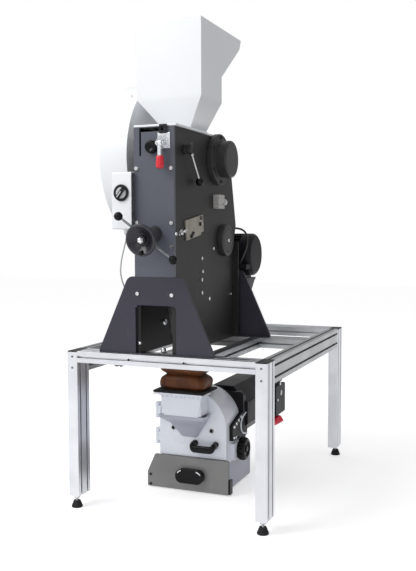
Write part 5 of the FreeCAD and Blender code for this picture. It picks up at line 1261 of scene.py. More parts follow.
# Body of the jaw crusher
@dataclass
class CrusherBody:
    """Painted walls and plates, jaws, shaft, bearing drums and what is screwed to the right wall."""

    wall_x: float = WALL_X
    shaft: Pair = SHAFT
    far_cover_x: float = -112.0
    drum_lengths: Pair = (78.0, 65.0)
    cover: Pair = (475.0, 958.0)
    plate_middle: Pair = (186.5, 1007.0)
    plate_size: Pair = (155.0, 70.0)
    plate_tilt: float = 8.9
    plate_screws: Sequence[Pair] = ((239.3, 1041.0), (229.8, 1018.9), (150.0, 975.5), (166.0, 985.0))
    pins: Sequence[Pair] = ((61.0, 985.5), (84.0, 993.0))
    block_low: Pair = (370.0, 1078.0)
    block_high: Pair = (428.0, 1130.0)
    block_holes: Sequence[Triple] = (
        (0.22, 0.26, 4.5), (0.22, 0.76, 3.2), (0.74, 0.3, 5.5), (0.74, 0.78, 3.2),
    )

    def build(self) -> None:
        """Finish each wall and add the small parts."""
        for node in ("side_wall_left", "side_wall_right", "rear_wall"):
            polish(node, "root", SIDE_CHARCOAL, "side_paint", 0.9)
        polish("front_panel", "root", PANEL_GREY, "front_paint", 1.0)
        for node in ("front_foot_plate", "rear_foot_plate", "motor_shelf"):
            polish(node, "root", FOOT_PURPLE, "foot_paint", 1.1, 3)
        polish("front_jaw", "front_jaw", CAST, "jaw", 1.2)
        polish("swing_jaw", "swing_jaw", CAST, "jaw", 1.2)
        polish("eccentric_shaft", "eccentric", GROUND_STEEL, "bright", 0.8)
        self.bearings()
        self.lower_cover()
        self.latch_plate()
        self.scale_block()

    def bearings(self) -> None:
        """Flanged bearing drums with a raised rim, a waist and soft edges."""
        y, z = self.shaft
        long, short = self.drum_lengths
        flange = 20.6
        right = [(64, 0.2), (94, 0.2), (95, 1.4), (95, 18), (93.6, 19.6), (90.5, 20), (89, 18.6),
                 (84, 18.4), (82.6, 19.8), (76, 20), (70.5, flange), (69, 22.4), (69, 58), (67.8, 61.5),
                 (65, 64), (61, 64.9), (0, short)]
        left = [(radius, rise * long / short if rise > flange else rise) for radius, rise in right]
        drum = Bench.lathe("bearing_housings_finished", right, at(self.wall_x, y, z), RIGHT, 96)
        far = Bench.lathe("left_bearing_cover", left, at(self.far_cover_x, y, z), -RIGHT, 96)
        dress(far, "root", WHITE_SHEET, "white_paint", "bearing_housings")
        dress(drum, "root", DRUM_CHARCOAL, "side_paint", "bearing_housings")

    def lower_cover(self) -> None:
        """Round cover with a soft edge, a shallow ring and its centre screw."""
        y, z = self.cover
        profile = [(0, 0.2), (60, 0.2), (61, 1.4), (61, 16.5), (59.6, 19.8), (56.5, 21.6), (53, 22),
                   (47, 22), (46, 20.6), (43.6, 20.4), (42.6, 21.8), (14, 22), (12.6, 20.8), (0, 20.6)]
        cover = Bench.lathe("lower_cover_finished", profile, at(self.wall_x, y, z), RIGHT, 96)
        dress(cover, "root", DRUM_CHARCOAL, "side_paint", "lower_cover")
        screw = screw_head("lower_cover_screw", at(self.wall_x + 20.6, y, z), RIGHT, 7.5, 5.2)
        dress(screw, "root", BOLT_STEEL, "bright")

    def latch_plate(self) -> None:
        """Tilted plate with dark screws on its corners and two bright pins before it."""
        y, z = self.plate_middle
        length, height = self.plate_size
        slant = Matrix.Rotation(math.radians(self.plate_tilt), 4, RIGHT)
        corners = [(-0.5, -0.5), (0.30, -0.5), (0.34, -0.38), (0.5, -0.38), (0.5, 0.5), (-0.5, 0.5)]
        middle = at(self.wall_x + 0.3, y, z)
        points = [middle + slant @ Vector((0.0, u * length * MM, v * height * MM)) for u, v in corners]
        plate = Bench.bevel(Bench.slab("wall_plates_finished", points, RIGHT * 5.6 * MM), 1.0, 3)
        dress(plate, "root", KHAKI, "plate_metal", "wall_plates")
        screws = [screw_head("plate_screw", at(self.wall_x + 5.8, *place), RIGHT, 7.0, 5.0)
                  for place in self.plate_screws]
        dress(Bench.join("latch_plate_screws", screws), "root", CAP_BLACK, "cap")
        profile = [(0, 0), (6.5, 0), (6.5, 3), (4, 4), (4, 9), (6, 10), (6.4, 12), (5.4, 14.4), (0, 15)]
        pins = [Bench.lathe("pin", profile, at(self.wall_x, *place), RIGHT, 24) for place in self.pins]
        (y0, z0), (y1, z1) = self.pins
        start, end = at(self.wall_x + 5, y0, z0), at(self.wall_x + 5, y1 + 30, z1 + 6)
        pins.append(Bench.rod("pin_bar", 3.0, start, end, 20))
        dress(Bench.join("latch_pins", pins), "root", CHROME, "bright")

    def scale_block(self) -> None:
        """Machined block with drilled holes, and the white knob on its far end."""
        (y0, z0), (y1, z1) = self.block_low, self.block_high
        block = Bench.block("scale_block", at(self.wall_x + 0.3, y0, z0), at(self.wall_x + 24, y1, z1))
        Bench.bevel(block, 1.2, 3)
        holes = []
        for share_y, share_z, radius in self.block_holes:
            y, z = y0 + share_y * (y1 - y0), z0 + share_z * (z1 - z0)
            start, end = at(self.wall_x + 17, y, z), at(self.wall_x + 30, y, z)
            holes.append(Bench.rod("hole", radius, start, end, 24))
        dress(Bench.cut(block, *holes), "root", SPECKLED, "plate_metal")
        x, y, z = self.wall_x + 13, y1 - 0.4, (z0 + z1) / 2
        neck = Bench.rod("neck", 7.5, at(x, y, z), at(x, y + 13, z), 32)
        profile = [(0, 12), (11, 12), (12.4, 13.2), (12.4, 27), (11.4, 30.4), (8, 32), (0, 32.4)]
        knob = Bench.lathe("knob", profile, at(x, y, z), BACK, 48)
        dress(neck, "root", BOLT_STEEL, "bright")
        dress(knob, "root", PALE_PLASTIC, "lead")


# Flywheel drive and its motor
@dataclass
class Drive:
    """Belt guard, flywheel, belt, pulley and the crusher's motor."""

    guard_x: float = -190.0
    guard_screws: Sequence[Pair] = ((157.4, 1475.1), (203.8, 1475.1), (137.0, 1150.0))

    def build(self) -> None:
        """Finish the drive's pieces."""
        polish("belt_guard", "root", WHITE_SHEET, "white_paint", 1.2, 3)
        polish("flywheel", "eccentric", CAST, "jaw", 1.5)
        polish("motor_pulley", "motor_rotor", GROUND_STEEL, "bright", 0.6)
        polish("drive_belt", "root", RUBBER, "belt", 0.8)
        polish("crusher_motor", "root", BLACK_ENAMEL, "motor_paint", 1.0)
        screws = [screw_head("guard_screw", at(self.guard_x, *place), RIGHT, 5.0, 2.6)
                  for place in self.guard_screws]
        dress(Bench.join("guard_screws", screws), "root", BOLT_STEEL, "bright")


# Sheet hopper
@dataclass
class HopperAssembly:
    """Folded sheet hopper on its lid, with a tab, a hinge pin and its knuckles."""

    hinge: Pair = (451.0, 1348.8)
    middle_x: float = -37.0
    knuckle_ends: Pair = (33.0, 44.0)
    tab: Triple = (38.0, 201.0, 1348.8)

    def build(self) -> None:
        """Finish the sheet and add the small parts of its lid."""
        polish("hopper", "hopper", WHITE_SHEET, "white_paint", 0.45)
        y, z = self.hinge
        parts = []
        for side in (-1, 1):
            start, end = (at(self.middle_x + side * reach, y, z) for reach in self.knuckle_ends)
            parts.append(Bench.bevel(Bench.rod("knuckle", 6.2, start, end, 32), 1.0, 3))
            cap = [(0, 0), (3.8, 0), (4.4, 1.0), (3.8, 2.6), (0, 3.4)]
            parts.append(Bench.lathe("pin_end", cap, end, RIGHT * side, 24))
        dress(Bench.join("hopper_hinge_ends", parts), "hopper", ZINC, "bright")
        x, y, z = self.tab
        tab = Bench.block("lid_tab", at(x - 9.0, y - 14.0, z + 3.4), at(x + 5.0, y + 14.0, z + 6.2))
        dress(Bench.bevel(tab, 1.0, 3), "hopper", WHITE_SHEET, "white_paint")


# Handwheel, levers, knob and toggle clamp
@dataclass
class HandControls:
    """What the hand turns and pulls on the crusher's front and right side."""

    spindle: Triple = (-35.0, 22.0, 984.0)
    tilt: float = 11.0
    grip_away: float = 42.0
    clamp_at: float = 70.0
    clamp_half: float = 5.2
    clamp_balls: Sequence[Triple] = ((-129.1, -60.3, 1043.1), (59.1, -33.1, 898.1))
    ball_radius: float = 15.0
    ball_steps: int = 20
    neck_share: float = 0.42
    neck_length: float = 1.6
    rod_radius: float = 4.0
    side_hub: Triple = (38.3, 108.0, 1272.0)
    side_ball: Triple = (60.3, 190.5, 1166.4)
    knob: Triple = (-40.0, 22.0, 1276.0)
    pivot: Triple = (0.0, -6.0, 1286.0)

    def build(self) -> None:
        """Make every hand control."""
        polish("spindle_barrel", "root", DRUM_CHARCOAL, "side_paint", 1.6, 3)
        self.handwheel()
        self.clamp_lever()
        self.side_lever()
        self.front_knob()
        self.toggle_base()
        self.toggle_lever()

    def outward(self) -> Vector:
        """Direction of the spindle, towards the operator."""
        turn = math.radians(self.tilt)
        return Vector((0.0, -math.cos(turn), -math.sin(turn)))

    def handwheel(self) -> None:
        """Dished wheel with a round rim, its hub, nut, fold grip and spindle."""
        origin, aim = at(*self.spindle), self.outward()
        profile = [(0, 77.4), (13, 77.4), (17, 80.4), (26, 86), (38, 94), (46, 99), (50.5, 99.2),
                   (53.6, 101.2), (55, 104.4), (54.2, 108), (51.6, 110.6), (48.4, 111.2), (45.6, 110),
                   (43.2, 107.4), (38, 102.4), (28, 94.6), (20, 90), (16.4, 90.2), (14.8, 93), (14.2, 100),
                   (13.2, 103.6), (10.5, 105.4), (0, 105.6)]
        wheel = Bench.lathe("handwheel_finished", profile, origin, aim, 96)
        dress(wheel, "handwheel", WHEEL_BLACK, "cap", "handwheel")
        low, high = origin + aim * 105.6 * MM, origin + aim * 111.6 * MM
        nut = Bench.bevel(Bench.rod("nut", 11.0, low, high, 6), 0.8)
        dome = [(0, 111.6), (8.8, 111.6), (8.6, 113.4), (7.2, 115.8), (4.4, 117.4), (0, 117.9)]
        nut = Bench.join("handwheel_nut", [nut, Bench.lathe("dome", dome, origin, aim, 32)])
        dress(nut, "handwheel", CHROME, "bright")
        seat = origin + RIGHT.cross(aim) * self.grip_away * MM
        grip = [(0, 98), (6.6, 98), (7.4, 102), (6.2, 105), (5.8, 108), (6.6, 112), (7.6, 115), (7, 118),
                (5, 120), (0, 120.6)]
        dress(Bench.lathe("handwheel_grip", grip, seat, aim, 40), "handwheel", PHENOLIC, "cap")
        rod = Bench.rod("handwheel_spindle", 10.6, origin - aim * 174.0 * MM, origin + aim * 78.0 * MM, 40)
        dress(Bench.bevel(rod, 1.0), "handwheel", GROUND_STEEL, "bright")

    def ball(self, name: str, middle: Vector, aim: Vector) -> bpy.types.Object:
        """Ball knob with a flat neck, turned towards where its rod comes from.

        Args:
            name: the piece's name.
            middle: the ball's middle.
            aim: direction of its rod, towards the ball.

        Returns:
            The new piece.
        """
        radius, steps = self.ball_radius, self.ball_steps
        neck = math.asin(self.neck_share)
        foot = -radius * math.cos(neck) - self.neck_length
        profile = [(0, foot), (radius * 0.36, foot)]
        for step in range(steps):
            turn = neck + (math.pi - neck) * step / steps
            profile.append((radius * math.sin(turn), -radius * math.cos(turn)))
        profile.append((0, radius))
        return Bench.lathe(name, profile, middle, aim, 48)

    def clamp_lever(self) -> None:
        """Hub between barrel and wheel, with two rods that end in balls."""
        origin, aim = at(*self.spindle), self.outward()
        inner, outer = self.clamp_at - self.clamp_half, self.clamp_at + self.clamp_half
        profile = [(11.6, inner), (18.4, inner), (20, inner + 1.6), (20, outer - 1.6), (18.4, outer),
                   (11.6, outer), (11.6, inner)]
        hub = Bench.lathe("clamp_lever_hub", profile, origin, aim, 64)
        dress(hub, "clamp_lever", PHENOLIC, "lever")
        centre = origin + aim * self.clamp_at * MM
        rods = []
        for index, place in enumerate(self.clamp_balls):
            ball = at(*place)
            along = (ball - centre).normalized()
            start, end = centre + along * 16 * MM, ball - along * 10 * MM
            rods.append(Bench.rod("rod", self.rod_radius, start, end, 28))
            collar = [(4.2, 19), (7.4, 19), (7.4, 26), (6.2, 28.6), (4.2, 28.6), (4.2, 19)]
            rods.append(Bench.lathe("collar", collar, centre, along, 28))
            dress(self.ball("clamp_ball_%d" % index, ball, along), "clamp_lever", PHENOLIC, "cap")
        dress(Bench.join("clamp_lever_finished", rods), "clamp_lever", SCREW_GREY, "lever", "clamp_lever")

    def side_lever(self) -> None:
        """Dark hub with a thin bright rod and a ball."""
        hub_seat, ball = at(*self.side_hub), at(*self.side_ball)
        profile = [(0, 0), (16, 0), (17, 1.2), (17, 7), (15.6, 8.6), (15.4, 12), (17, 13.6), (17, 26),
                   (15.6, 29), (12, 30), (11, 29), (0, 28.6)]
        hub = Bench.lathe("side_lever_hub", profile, hub_seat, RIGHT, 64)
        dress(hub, "side_lever", SIDE_CHARCOAL, "cap")
        start = hub_seat + RIGHT * 22.0 * MM
        along = (ball - start).normalized()
        rod = Bench.rod("rod", self.rod_radius, start + along * 14 * MM, ball - along * 10 * MM, 28)
        ring = [(4.2, 14), (7, 14), (7, 22), (5.6, 24.6), (4.2, 24.6), (4.2, 14)]
        lever = Bench.join("side_lever_finished", [rod, Bench.lathe("collar", ring, start, along, 28)])
        dress(lever, "side_lever", GROUND_STEEL, "lever", "side_lever")
        dress(self.ball("side_lever_ball", ball, along), "side_lever", PHENOLIC, "cap")

    def front_knob(self) -> None:
        """Locking knob with a fluted edge and a sunk face."""
        seat = at(*self.knob)
        profile = [(0, 0.4), (10, 0.4), (20, 1.2), (22, 3), (22, 17), (20.8, 19.8), (18.4, 21.4),
                   (15.6, 21.6), (14, 20.4), (10, 18.2), (0, 17.4)]
        knob = Bench.lathe("front_knob_finished", profile, seat, -BACK, 72)
        Bench.flute(knob, seat, -BACK, RIGHT, count=12, radius=2.8, away=23.8, reach=(5.0, 24.0), sides=20)
        dress(knob, "front_knob", PHENOLIC, "cap", "front_knob")

    def toggle_base(self) -> None:
        """Plated saddle on the panel, with cheeks, cross bolt, nuts and a dark hook over the lid."""
        x, y, z = self.pivot
        saddle = Bench.block("saddle", at(x - 20, 17.2, z - 16), at(x + 26, 21.6, z + 36))
        parts = [Bench.bevel(saddle, 1.2, 3)]
        for side in (-1, 1):
            low, high = sorted((x + side * 6.4, x + side * 9.4))
            cheek = [(y - 10, z - 8), (y - 4, z - 12), (y + 8, z - 14), (17.4, z - 18), (17.4, z + 30),
                     (y + 10, z + 22), (y - 4, z + 12), (y - 11, z + 4)]
            outline = [at(low, *place) for place in cheek]
            parts.append(Bench.bevel(Bench.slab("cheek", outline, RIGHT * (high - low) * MM), 0.7, 2))
            inner, outer = low + side * 5 - 3.5, high + side * 5 + 3.5
            wing = Bench.block("wing", at(inner, 11.0, z - 10), at(outer, 17.4, z + 14))
            parts.append(Bench.bevel(wing, 1.6, 3))
        parts.append(Bench.rod("cross_bolt", 4.0, at(x - 14, y, z), at(x + 14, y, z), 32))
        for side in (-1, 1):
            low, high = sorted((x + side * 9.8, x + side * 14.6))
            parts.append(Bench.bevel(Bench.rod("nut", 7.4, at(low, y, z), at(high, y, z), 6), 0.7))
        dress(Bench.join("catch_base_finished", parts), "root", ZINC, "lever", "catch_base")
        plate = Bench.block("hook", at(x - 12, 12.6, z + 34), at(x + 14, 17.0, z + 64))
        window = Bench.block("window", at(x - 6, 5, z + 43), at(x + 8, 25, z + 56))
        hook = Bench.bevel(Bench.cut(plate, window), 0.8, 2)
        tip = Bench.block("tip", at(x - 12, 12.6, z + 61.0), at(x + 14, 21.0, z + 64.2))
        hook = Bench.join("catch_hook", [hook, Bench.bevel(tip, 0.8, 2)])
        dress(hook, "root", CAP_BLACK, "cap")

    def toggle_lever(self) -> None:
        """Plated bar that hangs down into a dipped red grip."""
        x, y, z = self.pivot
        eye = Bench.rod("eye", 9.0, at(x - 5, y, z), at(x + 5, y, z), 48)
        bar = Bench.block("bar", at(x - 6, y - 7, z - 44), at(x + 6, y + 7, z - 2))
        metal = Bench.join("catch_lever_bar", [Bench.bevel(eye, 1.0, 3), Bench.bevel(bar, 1.4, 3)])
        dress(metal, "catch_lever", ZINC, "lever")
        profile = [(0, -85), (6, -84.8), (10.4, -83), (13, -79), (13.8, -72), (13.2, -64), (12.8, -54),
                   (12.8, -48), (11.6, -44), (9.6, -42), (0, -42)]
        grip = Bench.lathe("catch_lever_finished", profile, at(x, y, z), UP, 56)
        dress(grip, "catch_lever", RED_GRIP, "red_grip", "catch_lever")


# Grit path between crusher and mill
@dataclass
class GritPath:
    """Chute through the deck, folded cloth sleeve and rubber seal plate."""

    middle: Pair = (-60.0, 338.0)
    half_size: Pair = (83.0, 48.0)
    corner: float = 22.0
    corner_steps: int = 8
    levels: Sequence[Pair] = (
        (396.8, -5.0), (399.5, -4.6), (402, 1.0), (406, 6.0), (412, 8.0), (423, 8.5), (433, 7.5),
        (441, 2.5), (447, -6.0), (451, -12.5), (453, -13.5), (456, -11.0), (461, -3.0), (467, 4.0),
        (475, 8.0), (490, 8.5), (503, 4.0), (510, -6.0), (514, -11.0), (518, -8.0), (524, 0.0),
        (533.2, 6.0),
    )
    cloth: float = 1.2
    crumple: float = 5.5
    crumple_scale: float = 0.03
    mean_grow: float = 2.0

    def build(self) -> None:
        """Finish the chute and the plate, and fold the sleeve."""
        polish("drop_chute", "root", BARE_SHEET, "chute", 0.4)
        polish("seal_plate", "root", RUBBER, "belt", 1.6, 3)
        self.sleeve()

    def outline(self, grow: float, z: float) -> list[Vector]:
        """Rounded rectangle of the sleeve.

        Args:
            grow: how many millimetres it is wider than the plain one, all round.
            z: its height.

        Returns:
            Its points, closed on the first one.
        """
        points = []
        straight_x, straight_y = (half - self.corner for half in self.half_size)
        for quarter, (side_x, side_y) in enumerate(((1, 1), (-1, 1), (-1, -1), (1, -1))):
            for step in range(self.corner_steps + 1):
                turn = math.pi / 2 * (quarter + step / self.corner_steps)
                x = self.middle[0] + side_x * straight_x + math.cos(turn) * (self.corner + grow)
                y = self.middle[1] + side_y * straight_y + math.sin(turn) * (self.corner + grow)
                points.append(at(x, y, z))
        return [*points, points[0]]

    def sleeve(self) -> None:
        """Pull the outline up through the folds, crumple it and give it its cloth's thickness."""
        low, grow = self.levels[0]
        piece = Bench.chain("flexible_sleeve_finished", self.outline(grow, low))
        bpy.ops.mesh.select_all(action="SELECT")
        bpy.ops.mesh.remove_doubles(threshold=WELD)
        middle = at(*self.middle, low)
        for (low, grow), (high, wide) in zip(self.levels, self.levels[1:]):
            bpy.ops.mesh.extrude_region_move(TRANSFORM_OT_translate={"value": UP * (high - low) * MM})
            spread = [(half + wide) / (half + grow) for half in self.half_size]
            bpy.ops.transform.resize(value=(spread[0], spread[1], 1.0), center_override=middle)
        Bench.mend(piece)
        Bench.apply(piece, "SUBSURF", levels=2, render_levels=2)
        folds = bpy.data.textures.new("folds", "CLOUDS")
        folds.noise_scale = self.crumple_scale
        Bench.apply(piece, "DISPLACE", texture=folds, strength=self.crumple * MM, mid_level=0.5,
                    texture_coords="LOCAL")
        Bench.apply(piece, "SOLIDIFY", thickness=self.cloth * MM, offset=-1.0)
        Bench.edit(piece)
        bpy.ops.uv.cube_project(cube_size=1.0)
        bpy.ops.object.mode_set(mode="OBJECT")
        dress(piece, "root", SLEEVE_BROWN, "sleeve", "flexible_sleeve", angle=60.0)


# Disc mill
@dataclass
class DiscMill:
    """Mill housing, door with its feed box and handle, drawer, plinth, motor and side parts."""

    wall_x: float = 101.0
    door_y: float = 340.0
    plugs: Sequence[Pair] = ((-116.0, 239.0), (42.0, 239.0))
    bead_start: float = -127.0
    bead_pitch: float = 18.0
    bead_count: int = 9
    bead_seat: Pair = (262.4, 379.0)
    chute_middle: float = -43.5
    chute_shares: Sequence[Pair] = ((305.0, 0.83), (280.0, 0.87), (240.0, 0.80))
    chute_top: float = 303.0
    flange_box: Sequence[Triple] = ((-163.0, 262.0, 379.6), (39.0, 339.6, 387.6))
    mouth_box: Sequence[Triple] = ((-140.4, 259.6, 370.0), (36.4, 345.0, 395.0))
    handle: Triple = (17.0, 306.0, 175.0)
    pull: Triple = (-37.0, 301.0, 63.0)
    drawer_screws: Sequence[Pair] = ((-208.5, 49.8), (-208.2, 12.0))
    bracket: Sequence[Pair] = ((374, 198), (540, 186), (540, 290), (470, 286), (374, 258))
    bracket_bolts: Sequence[Pair] = ((388, 250), (412, 258), (436, 266), (462, 274), (388, 208), (408, 206))
    knob: Triple = (101.0, 453.0, 152.0)
    knob_radius: float = 44.0

    def build(self) -> None:
        """Finish the mill from its feed to its drawer."""
        for node, body in (("fixed_disc", "mill_door"), ("turning_disc", "mill_shaft")):
            polish(node, body, GROUND_STEEL, "bright", 0.8)
        polish("mill_housing", "root", MILL_WHITE, "white_paint", 1.4, 3)
        polish("mill_door", "mill_door", MILL_WHITE, "white_paint", 1.6, 3)
        polish("mill_base", "root", PLINTH_LAVENDER, "base_paint", 1.2)
        polish("mill_motor", "root", BLACK_ENAMEL, "mill_motor_paint", 2.4, 3)
        self.feed_box()
        self.door_parts()
        self.door_handle()
        self.drawer()
        self.side_bracket()
        self.gap_knob()

    def feed_box(self) -> None:
        """White box with beads under its flange, and painted shade in grey on the chute below it."""
        box = Bench.refined("feed_box", 1.0)
        for height, share in self.chute_shares:
            Bench.resize(box, (share, 1.0, 1.0), at(self.chute_middle, 0, 0), below=height * MM)
        dress(box, "mill_door", MILL_WHITE, "white_paint", "feed_box")
        # Faces below the chute's top take the darker grey: painted shade on the downward slope.
        box.data.materials.append(CHUTE_PAINTED_SHADE.material())
        for face in box.data.polygons:
            face.material_index = 1 if face.center.z < self.chute_top * MM else 0
        bead = [(0, -0.4), (5.6, -0.4), (5.4, 1.6), (4.2, 3.2), (2.2, 4.1), (0, 4.4)]
        places = [self.bead_start + index * self.bead_pitch for index in range(self.bead_count)]
        beads = [Bench.lathe("bead", bead, at(x, *self.bead_seat), -BACK, 24) for x in places]
        dress(Bench.join("feed_box_beads", beads), "mill_door", MILL_WHITE, "white_paint")
        flange = Bench.block("feed_box_flange", *(at(*corner) for corner in self.flange_box))
        mouth = Bench.block("mouth", *(at(*corner) for corner in self.mouth_box))
        dress(Bench.bevel(Bench.cut(flange, mouth), 1.2, 3), "mill_door", WHITE_SHEET, "white_paint")

    def door_parts(self) -> None:
        """Two black plugs in pale rings."""
        plug = [(0, -1.0), (8.6, -1.0), (9.0, 1.0), (8.2, 3.4), (5.6, 4.6), (0, 5.0)]
        ring = [(9.2, 0.0), (12.4, 0.0), (12.4, 0.7), (11.6, 1.3), (9.2, 1.3), (9.2, 0.0)]
        plugs, rings = [], []
        for x, z in self.plugs:
            plugs.append(Bench.lathe("plug", plug, at(x, self.door_y, z), -BACK, 32))
            rings.append(Bench.lathe("ring", ring, at(x, self.door_y, z), -BACK, 32))
        dress(Bench.join("door_plugs", plugs), "mill_door", PHENOLIC, "cap")
        dress(Bench.join("door_plug_rings", rings), "mill_door", WHITE_SHEET, "white_paint")

    def door_handle(self) -> None:
        """Bridge handle with raised ends and a thick low bar."""
        x, y, z = self.handle
        side = [(42, 33, 7), (43, 12, 7), (43, 1, 5), (39, -1, 0), (28, -2, -1)]
        points = [at(x - u, y + v, z + w) for u, v, w in side]
        points += [at(x + u, y + v, z + w) for u, v, w in side[::-1]]
        parts = [Bench.tube("bridge", points, 9.4)]
        Bench.resize(parts[0], (1.0, 1.0, 1.5), at(x, y, z))
        flange = [(0, 0.2), (11.4, 0.2), (12, 1.2), (11.4, 4.0), (9.4, 6.4), (0, 6.8)]
        for u in (-42, 42):
            parts.append(Bench.lathe("flange", flange, at(x + u, self.door_y, z + 13), -BACK, 40))
        dress(Bench.join("door_handle_finished", parts), "mill_door", PHENOLIC, "cap", "door_handle")

    def drawer(self) -> None:
        """Grey drawer with its screws, oval pull and the bright ends of the pull."""
        polish("collector_drawer", "drawer", DRAWER_GREY, "base_paint", 0.9)
        polish("drawer_handle", "drawer", PHENOLIC, "cap", 3.0, 4)
        screws = [screw_head("screw", at(x, 325.0, z), -BACK, 5.2, 2.6) for x, z in self.drawer_screws]
        dress(Bench.join("drawer_screws", screws), "drawer", CAP_BLACK, "cap")
        x, y, z = self.pull
        bend = ((50, 5, 6), (46, 1, 14), (39, -1, 20), (31, -1, 23))
        ends = [Bench.tube("end", [at(x + side * u, y + v, z + w) for u, v, w in bend], 2.6)
                for side in (-1, 1)]
        dress(Bench.join("drawer_pull_ends", ends), "drawer", CHROME, "bright")

    def side_bracket(self) -> None:
        """Black bracket with bright bolts, a light open rim, and the pale block beside the knob."""
        points = [at(self.wall_x + 0.3, y, z) for y, z in self.bracket]
        plate = Bench.bevel(Bench.slab("side_bracket_finished", points, RIGHT * 13.0 * MM), 2.0, 3)
        dress(plate, "root", BLACK_ENAMEL, "mill_motor_paint", "side_bracket")
        bolts = [screw_head("bolt", at(self.wall_x + 13.2, *place), RIGHT, 6.6, 5.0)
                 for place in self.bracket_bolts]
        dress(Bench.join("side_bracket_bolts", bolts), "root", CHROME, "bright")
        arc = [(536, 282), (500, 276), (470, 262), (460, 240), (468, 216), (492, 200), (530, 194)]
        rim = Bench.tube("side_bracket_rim", [at(self.wall_x + 14.0, y, z) for y, z in arc], 3.4)
        dress(rim, "root", MILL_WHITE, "white_paint")
        block = Bench.block("gap_block", at(self.wall_x - 1, 392, 118), at(self.wall_x + 13.6, 434, 182))
        groove = Bench.block("groove", at(self.wall_x + 11, 408, 110), at(self.wall_x + 20, 411, 190))
        dress(Bench.bevel(Bench.cut(block, groove), 1.4, 3), "root", MILL_WHITE, "white_paint")

    def gap_knob(self) -> None:
        """Lobed knob with a sunk face and its hub."""
        radius = self.knob_radius
        seat = at(*self.knob)
        profile = [(0, 10), (12, 10), (14, 14), (radius - 6, 15), (radius - 1.4, 17), (radius, 20),
                   (radius, 36), (radius - 2, 41), (radius - 6, 44), (radius - 12, 44.6),
                   (radius - 16, 42), (24, 38), (14, 38), (13, 42), (10, 44.4), (0, 45)]
        knob = Bench.lathe("gap_knob_finished", profile, seat, RIGHT, 96)
        Bench.flute(knob, seat, RIGHT, BACK, count=10, radius=8.5, away=radius + 4.5, reach=(8.0, 54.0),
                    sides=28, first=18.0)
        dress(knob, "gap_knob", PHENOLIC, "cap", "gap_knob")
        neck = Bench.rod("gap_knob_neck", 9.0, seat - RIGHT * 11 * MM, seat + RIGHT * 11 * MM, 32)
        dress(neck, "gap_knob", GROUND_STEEL, "bright")


